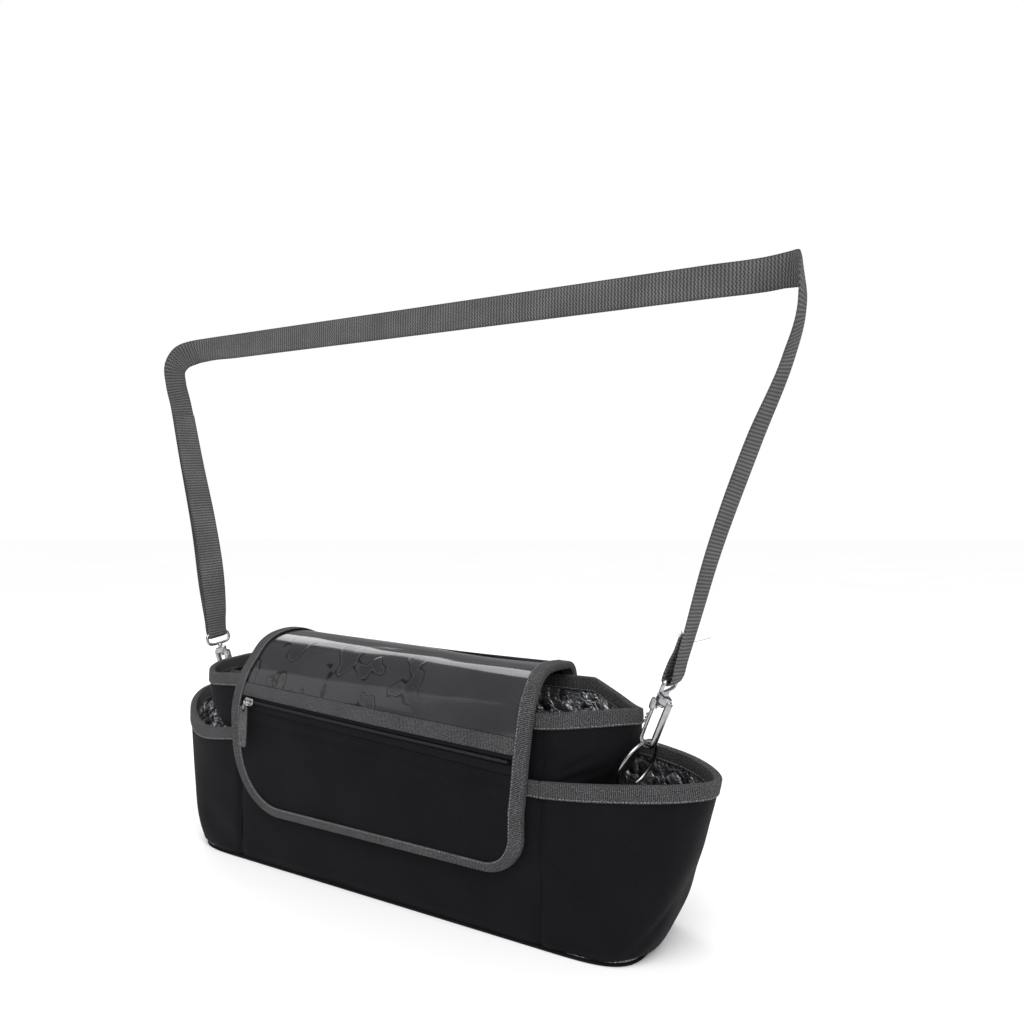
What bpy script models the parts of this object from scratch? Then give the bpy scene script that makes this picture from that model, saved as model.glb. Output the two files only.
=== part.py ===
"""Stroller organizer: a soft bag with flared end pockets, a zipped flap and a clip-on webbing strap.

Frame: X runs along the bag, Y away from its front, Z up, and the origin is the middle of the base underside.
The numbers below are millimetres. Every mesh is scaled to metres when it is made.
"""
import math

import bpy
import numpy as np

MM = 0.001

# Driving dimensions of the bag body
SEAM_X = 131.0
MAIN_HALF_DEPTH = 36.5
OUTER_HALF_DEPTH = 41.0
FRONT_HEIGHT = 140.0
BACK_HEIGHT = 151.0
FRONT_RIM_DIP = 6.0
POCKET_HEIGHT = 100.0
BASE_REACH = 58.0
BASE_THICKNESS = 2.0
CLEARANCE = 0.3
FABRIC = 1.6
POCKET_FABRIC = 1.4
LINING = 0.8
TAPE = 0.7
BINDING_WIDTH = 11.0
FRONT_BUMP = 5.0

# Rounded ends: how far each main rim bulges past the seam, and how far each pocket rim flares past the base
MAIN_BULGE = {"right": 46.0, "left": 60.0}
MAIN_SQUARENESS = {"right": 2.0, "left": 3.5}
MAIN_BASE_BULGE = 14.0
POCKET_FLARE = {"right": 38.0, "left": 40.5}
POCKET_BULGE = {side: BASE_REACH + flare for side, flare in POCKET_FLARE.items()}

# Rim heights round each end, from the front seam at -90 degrees to the back seam at 90
RIM_ANGLES = (-90.0, -55.0, -25.0, 5.0, 50.0, 70.0, 90.0)
MAIN_RIM = {
    "right": (140.0, 143.0, 143.5, 141.0, 139.0, 144.0, 151.0),
    "left": (140.0, 137.5, 140.5, 144.5, 146.0, 148.0, 151.0),
}
POCKET_RIM = {
    "right": (100.0, 104.5, 106.0, 105.5, 111.0, 113.0, 112.0),
    "left": (100.0, 94.5, 104.5, 115.0, 117.5, 115.0, 112.0),
}

# Where the walls have points: round each end, along the front, and up each wall as fractions of its height
ANGLES = np.radians(np.linspace(-90.0, 90.0, 17))
FRONT_COLUMNS = 13
WALL_ROWS = {
    "main": (0.0, 0.45, 0.58, 0.70, 0.82, 0.91, 1.0),
    "pocket": (0.0, 0.05, 0.16, 0.32, 0.55, 0.76, 0.89, 1.0),
}

# Flap section keys as (Y, Z) from the back seam over the crest to the front edge
FLAP_RIGHT_Y = (42.6, 42.8, 36.0, 20.0, -6.0, -19.0, -28.0, -36.0, -41.8, -45.0, -46.2, -46.4, -46.4)
FLAP_RIGHT_Z = (138.0, 151.5, 159.5, 162.0, 163.8, 162.5, 159.0, 152.0, 143.3, 130.0, 112.0, 80.0, 42.0)
FLAP_LEFT_Y = (42.6, 42.8, 36.0, 20.0, 4.0, -13.0, -25.0, -34.0, -42.0, -46.5, -48.5, -47.5, -46.4)
FLAP_LEFT_Z = (138.0, 151.0, 160.0, 167.5, 173.5, 172.0, 166.0, 155.0, 143.3, 128.0, 108.0, 78.0, 42.0)
FLAP_OUTER = 1.2
BAND_TOP_Z = 131.0
WINDOW_BEHIND_CREST = 12.0
FLAP_PANEL = 1.5
FLAP_STACK = FLAP_OUTER + CLEARANCE + FLAP_PANEL
FLAP_REFERENCE_X = 126.0
FLAP_EDGE_FRACTIONS = (0.0, 0.12, 0.30, 0.45, 0.55, 0.68, 0.80)
FLAP_EDGE_RIGHT = (113.0, 114.0, 121.0, 125.5, 126.0, 123.5, 121.0)
FLAP_EDGE_LEFT = (-113.0, -114.0, -121.0, -127.0, -129.0, -132.0, -131.0)
# How far its rows slope: travel gained for each millimetre to the right, at fractions of its length
FLAP_SLANT_FRACTIONS = (0.0, 0.28, 0.46, 0.59, 0.64, 0.69, 0.83, 1.0)
FLAP_SLANT = (0.0, 0.005, 0.03, 0.055, 0.066, 0.08, 0.04, 0.0)
FLAP_CORNER_RIGHT = 27.0
FLAP_CORNER_LEFT = 48.0

# Zip and window strips on the flap, as distances below the front fold
BAND_WIDTH = 10.0
UPPER_TAPE_WIDTH = 2.2
LOWER_TAPE_WIDTH = 5.0
COIL_RADIUS = 1.3
WINDOW_SHEET = 0.6
SLIDER_START = 7.5
ARCH_HALF_SPAN = 2.9
ARCH_RISE = 3.0
ARCH_WIRE = 0.6
BAIL_LENGTH = 3.4
BAIL_WIDTH = 2.0
BAIL_WIRE = 0.45
BAIL_HANG = 1.45
PULL_HOLE = 1.5
PULL_EDGE = 2.7
PULL_LENGTH = 30.0
PULL_WIDTH = 8.0
PULL_THICKNESS = 1.0

# Rings and hooks. A hook is measured up its own axis (E) and across to its gate (P) from the ring wire
WIRE_RADIUS = 1.2
RING_RADIUS = 17.0
RING_TOP = {"right": (184.5, -5.0, 124.5), "left": (-198.0, 4.8, 121.6)}
PULL = {"right": (0.40, -0.11, 0.91), "left": (-0.24, -0.14, 0.96)}
RING_AXIS = {"right": (0.25, 0.97, 0.0), "left": (-0.25, 0.97, 0.0)}
EYE_AXIS = {"right": (0.1, 0.99, 0.0), "left": (0.35, 0.93, 0.0)}
HOOK_HALF_WIDTH = 4.6
HOOK_WIRE = 1.6
NOSE_E = 6.4
BOSS_LOW = 27.0
BOSS_HIGH = 32.0
BOSS_HALF = 6.2
STUD_RADIUS = 1.05
PIVOT_E = 22.0
PIN_RADIUS = 0.55
GATE_RADIUS = 1.15
GATE_START = NOSE_E + 0.5
EYE_MIDDLE = 40.0
EYE_HALF_HEIGHT = 4.6
EYE_HALF_WIDTH = 9.2
TAB_WIDTH = 10.0
TAB_PLY = 0.8
TAB_LOOP = 2.9

# Webbing strap, drawn up round an absent handle, as keys of its middle line
STRAP_WIDTH = 20.0
STRAP_EYE_WIDTH = 15.0
STRAP_THICKNESS = 1.5
STRAP_LOOP = 3.0
STRAP_RIGHT_KEYS = (
    (224.0, -7.0, 233.0), (248.0, -3.5, 302.0), (268.0, -9.0, 346.0), (276.5, -18.0, 369.0),
    (277.0, -18.0, 382.0), (274.0, -8.0, 392.5), (267.0, -0.5, 395.5), (256.0, 2.7, 396.0),
)
STRAP_RIGHT_ACROSS = (
    (0.15, 0.98, 0.0), (0.2, 0.96, 0.0), (0.1, 0.98, 0.1), (0.0, 1.0, 0.0),
    (0.0, 0.9, -0.35), (0.0, 0.4, -0.9), (0.0, 0.05, -1.0), (0.0, 0.0, -1.0),
)
STRAP_LEFT_KEYS = (
    (-216.0, -6.5, 407.0), (-227.0, -10.0, 405.5), (-232.8, -17.0, 401.0), (-234.8, -23.0, 391.0),
    (-235.6, -21.5, 377.0), (-236.0, -17.0, 362.0), (-229.0, -13.5, 320.0), (-215.0, -8.5, 245.0),
)
STRAP_LEFT_ACROSS = (
    (0.0, 0.0, -1.0), (0.0, 0.15, -1.0), (0.0, 0.5, -0.85), (0.0, 0.95, -0.3),
    (0.0, 1.0, 0.0), (0.05, 0.98, 0.1), (0.15, 0.97, 0.0), (0.3, 0.94, 0.0),
)
STRAP_BRIDGE_SHARES = (0.08, 0.5, 0.92)
RIGHT_TAIL = 26.0
LEFT_TAIL = 190.0


def clear_scene():
    """Remove every object that a new Blender file holds."""
    for item in list(bpy.data.objects):
        bpy.data.objects.remove(item, do_unlink=True)


def material(name, colour, roughness, metallic=0.0, alpha=1.0):
    """Make one plain Principled material."""
    made = bpy.data.materials.new(name)
    made.use_nodes = True
    shader = made.node_tree.nodes["Principled BSDF"]
    shader.inputs["Base Color"].default_value = (*colour, 1.0)
    shader.inputs["Roughness"].default_value = roughness
    shader.inputs["Metallic"].default_value = metallic
    shader.inputs["Alpha"].default_value = alpha
    return made


def unit(vector):
    """Scale a vector, or each row of an array, to length one."""
    vector = np.asarray(vector, dtype=float)
    return vector / np.linalg.norm(vector, axis=-1, keepdims=True)


def smooth_through(keys, values, where):
    """Cubic curve through the keys, with slopes taken from the neighbouring keys."""
    keys = np.asarray(keys, dtype=float)
    values = np.asarray(values, dtype=float)
    where = np.clip(np.asarray(where, dtype=float), keys[0], keys[-1])
    slopes = np.gradient(values, keys, axis=0)
    place = np.clip(np.searchsorted(keys, where, side="right") - 1, 0, len(keys) - 2)
    width = keys[place + 1] - keys[place]
    t = (where - keys[place]) / width
    shape = (-1,) + (1,) * (values.ndim - 1)
    t = t.reshape(shape)
    width = width.reshape(shape)
    start = (2 * t ** 3 - 3 * t ** 2 + 1) * values[place] + (t ** 3 - 2 * t ** 2 + t) * width * slopes[place]
    end = (3 * t ** 2 - 2 * t ** 3) * values[place + 1] + (t ** 3 - t ** 2) * width * slopes[place + 1]
    return start + end


def make_object(name, points, faces, look, origin=(0.0, 0.0, 0.0)):
    """Make a closed mesh object in metres, with its faces outwards and its origin where asked."""
    points = np.asarray(points, dtype=float).reshape(-1, 3)
    volume = 0.0
    for face in faces:
        first = points[face[0]]
        for k in range(1, len(face) - 1):
            volume += float(np.dot(first, np.cross(points[face[k]], points[face[k + 1]])))
    if volume < 0.0:
        faces = [tuple(reversed(face)) for face in faces]
    origin = np.asarray(origin, dtype=float)
    mesh = bpy.data.meshes.new(name)
    mesh.from_pydata(((points - origin) * MM).tolist(), [], [tuple(int(i) for i in face) for face in faces])
    mesh.update()
    mesh.materials.append(look)
    made = bpy.data.objects.new(name, mesh)
    made.location = tuple(origin * MM)
    bpy.context.scene.collection.objects.link(made)
    return made


def thick_sheet(name, outer, inner, look, loop=False):
    """Close two matching grids of points into one solid sheet. A loop joins its last row to its first."""
    outer = np.asarray(outer, dtype=float)
    inner = np.asarray(inner, dtype=float)
    rows, columns = outer.shape[:2]
    base = rows * columns
    faces = []
    last = rows if loop else rows - 1
    for i in range(last):
        k = (i + 1) % rows
        for j in range(columns - 1):
            a, b = i * columns + j, i * columns + j + 1
            c, d = k * columns + j + 1, k * columns + j
            faces.append((a, b, c, d))
            faces.append((base + a, base + d, base + c, base + b))
        first, second = i * columns, k * columns
        faces.append((first, second, base + second, base + first))
        first, second = first + columns - 1, second + columns - 1
        faces.append((second, first, base + first, base + second))
    if not loop:
        for j in range(columns - 1):
            faces.append((j + 1, j, base + j, base + j + 1))
            end = (rows - 1) * columns + j
            faces.append((end, end + 1, base + end + 1, base + end))
    points = np.concatenate([outer.reshape(-1, 3), inner.reshape(-1, 3)])
    return make_object(name, points, faces, look)


def swept(name, rings, look, closed=False, origin=(0.0, 0.0, 0.0)):
    """Join rings of points into a tube with flat ends, or into a closed loop."""
    rings = np.asarray(rings, dtype=float)
    count, sides = rings.shape[:2]
    faces = []
    for i in range(count if closed else count - 1):
        k = (i + 1) % count
        for j in range(sides):
            n = (j + 1) % sides
            faces.append((i * sides + j, i * sides + n, k * sides + n, k * sides + j))
    if not closed:
        faces.append(tuple(reversed(range(sides))))
        faces.append(tuple((count - 1) * sides + j for j in range(sides)))
    return make_object(name, rings.reshape(-1, 3), faces, look, origin)


def round_rings(path, across, radius, sides=10, closed=False):
    """Circles of points round a path. Each circle starts along the given direction."""
    path = np.asarray(path, dtype=float)
    if closed:
        along = unit(np.roll(path, -1, axis=0) - np.roll(path, 1, axis=0))
    else:
        along = unit(np.gradient(path, axis=0))
    across = np.broadcast_to(np.asarray(across, dtype=float), path.shape)
    first = unit(across - along * np.sum(across * along, axis=1, keepdims=True))
    second = np.cross(along, first)
    turn = np.linspace(0.0, 2.0 * math.pi, sides, endpoint=False)
    radius = np.broadcast_to(np.asarray(radius, dtype=float), (len(path),))
    ring = first[:, None] * np.cos(turn)[None, :, None] + second[:, None] * np.sin(turn)[None, :, None]
    return path[:, None] + ring * radius[:, None, None]


def join_solids(target, others):
    """Unite solids that are one real piece, then remove the tools."""
    for tool in others:
        change = target.modifiers.new("join", "BOOLEAN")
        change.operation = "UNION"
        change.solver = "EXACT"
        change.object = tool
        bpy.context.view_layer.update()
        graph = bpy.context.evaluated_depsgraph_get()
        fresh = bpy.data.meshes.new_from_object(target.evaluated_get(graph))
        target.modifiers.clear()
        old = target.data
        target.data = fresh
        bpy.data.meshes.remove(old)
        bpy.data.objects.remove(tool, do_unlink=True)
    return target


def cut_solid(target, tool):
    """Cut one solid out of another, then remove the tool."""
    change = target.modifiers.new("cut", "BOOLEAN")
    change.operation = "DIFFERENCE"
    change.solver = "EXACT"
    change.object = tool
    bpy.context.view_layer.update()
    graph = bpy.context.evaluated_depsgraph_get()
    fresh = bpy.data.meshes.new_from_object(target.evaluated_get(graph))
    target.modifiers.clear()
    old = target.data
    target.data = fresh
    bpy.data.meshes.remove(old)
    bpy.data.objects.remove(tool, do_unlink=True)
    return target


def box_points(centre, axes, halves):
    """The eight corners of a box with its own axes, as two rings of four."""
    first, second, third = [unit(axis) for axis in axes]
    signs = ((-1, -1), (1, -1), (1, 1), (-1, 1))
    rings = []
    for side in (-1.0, 1.0):
        ring = [
            np.asarray(centre) + first * halves[0] * side + second * halves[1] * a + third * halves[2] * b
            for a, b in signs
        ]
        rings.append(ring)
    return np.array(rings)


def end_plan(side, angles, bulge, half_depth, squareness):
    """Plan points of one rounded end: half a superellipse past the seam."""
    power = 2.0 / squareness
    reach = bulge * np.abs(np.cos(angles)) ** power
    depth = half_depth * np.sign(np.sin(angles)) * np.abs(np.sin(angles)) ** power
    sign = 1.0 if side == "right" else -1.0
    return np.stack([sign * (SEAM_X + reach), depth], axis=-1)


def main_bulge(side, height):
    """Bulge of a main end at a height fraction: slim below, flared out to the rim."""
    rise = np.clip((height - 0.45) / 0.42, 0.0, 1.0)
    rise = rise * rise * (3.0 - 2.0 * rise)
    return MAIN_BASE_BULGE + (MAIN_BULGE[side] - MAIN_BASE_BULGE) * rise


def pocket_bulge(side, height):
    """Bulge of a flared outer pocket at a height fraction."""
    return BASE_REACH + (POCKET_BULGE[side] - BASE_REACH) * np.clip(height, 0.0, 1.0) ** 0.7


def inset(plan, distance):
    """Move plan points inwards along the normal of their own line."""
    along = np.gradient(plan, axis=0)
    along = along / np.linalg.norm(along, axis=1, keepdims=True)
    normal = np.stack([along[:, 1], -along[:, 0]], axis=1)
    facing = np.sum(normal * plan, axis=1)
    if facing.sum() < 0.0:
        normal = -normal
    for end in (0, -1):
        if abs(abs(plan[end, 0]) - SEAM_X) < 0.001:
            normal[end] = (0.0, np.sign(plan[end, 1]))
    return plan - normal * distance


def end_line(side, kind, distance, low, below, angles=ANGLES):
    """Line round one end wall, a given depth below its rim and inset from its outer face."""
    rims = (MAIN_RIM if kind == "main" else POCKET_RIM)[side]
    rim = smooth_through(RIM_ANGLES, rims, np.degrees(angles))
    height = rim - below
    fraction = np.clip((height - low) / (rim - low), 0.0, 1.0)
    if kind == "main":
        bulge = main_bulge(side, fraction)
        flare = (bulge - MAIN_BASE_BULGE) / (MAIN_BULGE[side] - MAIN_BASE_BULGE)
        square = 2.0 + (MAIN_SQUARENESS[side] - 2.0) * flare
        plan = end_plan(side, angles, bulge, MAIN_HALF_DEPTH, square)
    else:
        square = 4.0 - 2.0 * fraction ** 0.8
        plan = end_plan(side, angles, pocket_bulge(side, fraction), OUTER_HALF_DEPTH, square)
    return np.column_stack([inset(plan, distance), height])


def end_rows(side, kind, distance, low, drop=0.0, angles=ANGLES):
    """Grid of one end wall: a row of points for each angle, from its foot up to its rim."""
    rims = (MAIN_RIM if kind == "main" else POCKET_RIM)[side]
    rim = smooth_through(RIM_ANGLES, rims, np.degrees(angles))
    lines = []
    for share in WALL_ROWS[kind]:
        lines.append(end_line(side, kind, distance, low, drop + (rim - drop - low) * (1.0 - share), angles))
    return np.stack(lines, axis=1)


def front_line(x):
    """Plan depth of the main front panel, which sags back between its seams."""
    return -MAIN_HALF_DEPTH + FRONT_BUMP * (1.0 - (x / SEAM_X) ** 2) ** 2


def front_rim(x):
    """Height of the main front rim, a little lower under the flap."""
    return FRONT_HEIGHT - FRONT_RIM_DIP * (1.0 - (x / SEAM_X) ** 2)


def flat_rows(xs, depth, rim, low, fractions=(0.0, 0.5, 1.0)):
    """Grid of an upright panel: a column of heights for each X."""
    grid = np.zeros((len(xs), len(fractions), 3))
    for row, fraction in enumerate(fractions):
        grid[:, row, 0] = xs
        grid[:, row, 1] = depth
        grid[:, row, 2] = low + (rim - low) * fraction
    return grid


def main_loop(distance, drop, low):
    """Grid that runs once round the main body: front, right end, back and left end."""
    xs = np.linspace(-SEAM_X, SEAM_X, FRONT_COLUMNS)[1:-1]
    front = flat_rows(xs, front_line(xs) + distance, front_rim(xs) - drop, low, WALL_ROWS["main"])
    right = end_rows("right", "main", distance, low, drop)
    back_xs = np.linspace(SEAM_X, -SEAM_X, 7)[1:-1]
    back = flat_rows(back_xs, MAIN_HALF_DEPTH - distance, BACK_HEIGHT - drop, low, WALL_ROWS["main"])
    left = end_rows("left", "main", distance, low, drop)[::-1]
    return np.concatenate([front, right, back, left])


def main_line(distance, low, below):
    """Closed line round the main body at a depth below its rim."""
    xs = np.linspace(-SEAM_X, SEAM_X, FRONT_COLUMNS)[1:-1]
    front = np.column_stack([xs, front_line(xs) + distance, front_rim(xs) - below])
    right = end_line("right", "main", distance, low, below)
    back_xs = np.linspace(SEAM_X, -SEAM_X, 7)[1:-1]
    level = np.full(len(back_xs), MAIN_HALF_DEPTH - distance)
    back = np.column_stack([back_xs, level, np.full(len(back_xs), BACK_HEIGHT - below)])
    left = end_line("left", "main", distance, low, below)[::-1]
    return np.concatenate([front, right, back, left])


def folded_tape(line_at, stack, width, tape):
    """Outer and inner grids of a tape folded over a rim. line_at gives a line for an inset and a depth."""
    grids = []
    for gap in (CLEARANCE + tape, CLEARANCE):
        far = stack + gap
        steps = ((-gap, width), (-gap, 0.0), (-gap, -gap), (far, -gap), (far, 0.0), (far, width))
        grids.append(np.stack([line_at(distance, below) for distance, below in steps], axis=1))
    return grids


def build_body(looks):
    """Base, main walls, lining and bound main rim."""
    low = BASE_THICKNESS + CLEARANCE
    xs = np.linspace(-SEAM_X + CLEARANCE / 2, SEAM_X - CLEARANCE / 2, FRONT_COLUMNS)

    right = end_plan("right", ANGLES, BASE_REACH, OUTER_HALF_DEPTH, 4.0)
    left = end_plan("left", ANGLES, BASE_REACH, OUTER_HALF_DEPTH, 4.0)[::-1]
    outline = np.concatenate([right, left])
    bottom = np.column_stack([outline, np.zeros(len(outline))])
    top = bottom + np.array([0.0, 0.0, BASE_THICKNESS])
    swept("base_panel", [bottom, top], looks["fabric"])

    outer = flat_rows(xs, front_line(xs), front_rim(xs), low)
    inner = outer + np.array([0.0, FABRIC, 0.0])
    thick_sheet("front_panel", outer, inner, looks["fabric"])

    back_xs = xs[::3]
    outer = flat_rows(back_xs, MAIN_HALF_DEPTH, BACK_HEIGHT, low)
    inner = outer - np.array([0.0, FABRIC, 0.0])
    thick_sheet("back_panel", outer, inner, looks["fabric"])

    for side in ("right", "left"):
        outer = end_rows(side, "main", 0.0, low)
        inner = end_rows(side, "main", FABRIC, low)
        sign = 1.0 if side == "right" else -1.0
        shift = np.array([sign * CLEARANCE / 2, 0.0, 0.0])
        thick_sheet(f"end_wall_{side}", outer + shift, inner + shift, looks["fabric"])

    skin = FABRIC + CLEARANCE
    outer = main_loop(skin, 0.0, low)
    inner = main_loop(skin + LINING, 0.0, low)
    make_lining(outer, inner, looks["lining"])

    stack = FABRIC + CLEARANCE + LINING
    outer, inner = folded_tape(lambda d, below: main_line(d, low, below), stack, BINDING_WIDTH, TAPE)
    thick_sheet("main_rim_binding", outer, inner, looks["binding"], loop=True)


def make_lining(outer, inner, look):
    """Close the lining loop with a floor into one open-topped liner."""
    count, rows = outer.shape[:2]
    inner = inner.copy()
    inner[:, 0, 2] += LINING
    base = count * rows
    faces = []
    for i in range(count):
        k = (i + 1) % count
        for j in range(rows - 1):
            a, b, c, d = i * rows + j, i * rows + j + 1, k * rows + j + 1, k * rows + j
            faces.append((a, b, c, d))
            faces.append((base + a, base + d, base + c, base + b))
        a, b = i * rows + rows - 1, k * rows + rows - 1
        faces.append((b, a, base + a, base + b))
    faces.append(tuple(i * rows for i in range(count)))
    faces.append(tuple(base + i * rows for i in reversed(range(count))))
    points = np.concatenate([outer.reshape(-1, 3), inner.reshape(-1, 3)])
    make_object("main_lining", points, faces, look)


def build_pockets(looks):
    """Front pocket layer and the two flared end pockets, with linings and bound rims."""
    low = BASE_THICKNESS + CLEARANCE
    xs = np.linspace(-SEAM_X + CLEARANCE / 2, SEAM_X - CLEARANCE / 2, 7)
    outer = flat_rows(xs, -OUTER_HALF_DEPTH, POCKET_HEIGHT, low)
    inner = outer + np.array([0.0, POCKET_FABRIC, 0.0])
    thick_sheet("front_pocket", outer, inner, looks["fabric"])

    def front_tape(distance, below):
        """Straight line along the front pocket's rim."""
        return np.column_stack([
            xs,
            np.full(len(xs), distance - OUTER_HALF_DEPTH),
            np.full(len(xs), POCKET_HEIGHT - below),
        ])

    outer, inner = folded_tape(front_tape, POCKET_FABRIC, BINDING_WIDTH, TAPE)
    thick_sheet("front_pocket_binding", outer, inner, looks["binding"])

    for side in ("right", "left"):
        sign = 1.0 if side == "right" else -1.0
        shift = np.array([sign * CLEARANCE / 2, 0.0, 0.0])
        outer = end_rows(side, "pocket", 0.0, low) + shift
        inner = end_rows(side, "pocket", POCKET_FABRIC, low) + shift
        thick_sheet(f"end_pocket_{side}", outer, inner, looks["fabric"])

        skin = POCKET_FABRIC + CLEARANCE
        outer = end_rows(side, "pocket", skin, low, 1.5)[1:-1]
        inner = end_rows(side, "pocket", skin + LINING, low, 1.5)[1:-1]
        thick_sheet(f"pocket_lining_{side}", outer, inner, looks["lining"])

        stack = POCKET_FABRIC + LINING + 3.0 * CLEARANCE
        outer, inner = folded_tape(
            lambda d, below: end_line(side, "pocket", d, low, below) + shift, stack, BINDING_WIDTH, TAPE)
        thick_sheet(f"pocket_binding_{side}", outer, inner, looks["binding"])


class Flap:
    """The flap surface, measured from its back seam along its section and across in X."""

    def __init__(self):
        keys = np.arange(len(FLAP_RIGHT_Y), dtype=float)
        fine = np.linspace(0.0, keys[-1], 600)
        right = smooth_through(keys, np.column_stack([FLAP_RIGHT_Y, FLAP_RIGHT_Z]), fine)
        left = smooth_through(keys, np.column_stack([FLAP_LEFT_Y, FLAP_LEFT_Z]), fine)
        middle = (right + left) / 2.0
        steps = np.linalg.norm(np.diff(middle, axis=0), axis=1)
        self.travel = np.concatenate([[0.0], np.cumsum(steps)])
        self.right = right
        self.left = left
        self.length = float(self.travel[-1])
        fold = np.argmin(np.abs(middle[:, 1] - BAND_TOP_Z) + 1000.0 * (middle[:, 0] > 0.0))
        self.band_top = float(self.travel[fold])
        self.crest = float(self.travel[np.argmax(middle[:, 1])])
        places = np.array(FLAP_SLANT_FRACTIONS) * self.length
        self.slant_travel = self.travel
        self.slant = smooth_through(places, FLAP_SLANT, self.travel)

    def section(self, travel, x):
        """Point (Y, Z) at a travel along the section and at an X."""
        share = ((x + FLAP_REFERENCE_X) / (2.0 * FLAP_REFERENCE_X))[..., None]
        right = np.stack([np.interp(travel, self.travel, self.right[:, k]) for k in (0, 1)], axis=-1)
        left = np.stack([np.interp(travel, self.travel, self.left[:, k]) for k in (0, 1)], axis=-1)
        return right * share + left * (1.0 - share)

    def point(self, travel, x, offset):
        """Point in space at a travel, an X and an offset outwards from the flap's outer face."""
        travel, x, offset = np.broadcast_arrays(*[np.asarray(v, dtype=float) for v in (travel, x, offset)])
        slant = np.interp(travel, self.slant_travel, self.slant)
        travel = travel + slant * x
        here = self.section(travel, x)
        along = self.section(travel + 1.5, x) - self.section(travel - 1.5, x)
        along = unit(along)
        normal = np.stack([-along[..., 1], along[..., 0]], axis=-1)
        yz = here - normal * offset[..., None]
        return np.concatenate([x[..., None], yz], axis=-1)

    def edges(self, travel):
        """Left and right edge X at a travel, with the two rounded front corners."""
        fractions = np.array(FLAP_EDGE_FRACTIONS) * self.length
        right = smooth_through(fractions, FLAP_EDGE_RIGHT, travel)
        left = smooth_through(fractions, FLAP_EDGE_LEFT, travel)
        over = np.clip((travel - (self.length - FLAP_CORNER_RIGHT)) / FLAP_CORNER_RIGHT, 0.0, 1.0)
        right = right - FLAP_CORNER_RIGHT * (1.0 - np.sqrt(1.0 - over * over))
        over = np.clip((travel - (self.length - FLAP_CORNER_LEFT)) / FLAP_CORNER_LEFT, 0.0, 1.0)
        left = left + FLAP_CORNER_LEFT * (1.0 - np.sqrt(1.0 - over * over))
        return left, right

    def rows(self, start, end):
        """Travels from start to end, closer together near the round front corners."""
        bend = self.length - FLAP_CORNER_LEFT
        curved = self.band_top + 6.0
        travel = []
        for low, high, step in ((start, min(end, curved), 4.5), (max(start, curved), min(end, bend), 12.0)):
            if high > low + 0.01:
                travel.extend(np.linspace(low, high, max(2, int((high - low) / step) + 1)))
        straight = np.unique(np.round(travel, 6))
        if end <= bend:
            return straight
        span = (end - bend) / FLAP_CORNER_LEFT
        turn = np.linspace(0.0, math.asin(min(1.0, span)), 10)[1:]
        return np.concatenate([straight, bend + FLAP_CORNER_LEFT * np.sin(turn)])

    def strip(self, name, start, end, high, thickness, look, columns=5):
        """One layer of the flap between two travels, with its top at an offset."""
        travel = self.rows(start, end)
        left, right = self.edges(travel)
        x = left[:, None] + (right - left)[:, None] * np.linspace(0.0, 1.0, columns)[None]
        outer = self.point(travel[:, None], x, high)
        inner = self.point(travel[:, None], x, high - thickness)
        return thick_sheet(name, outer, inner, look)


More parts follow.
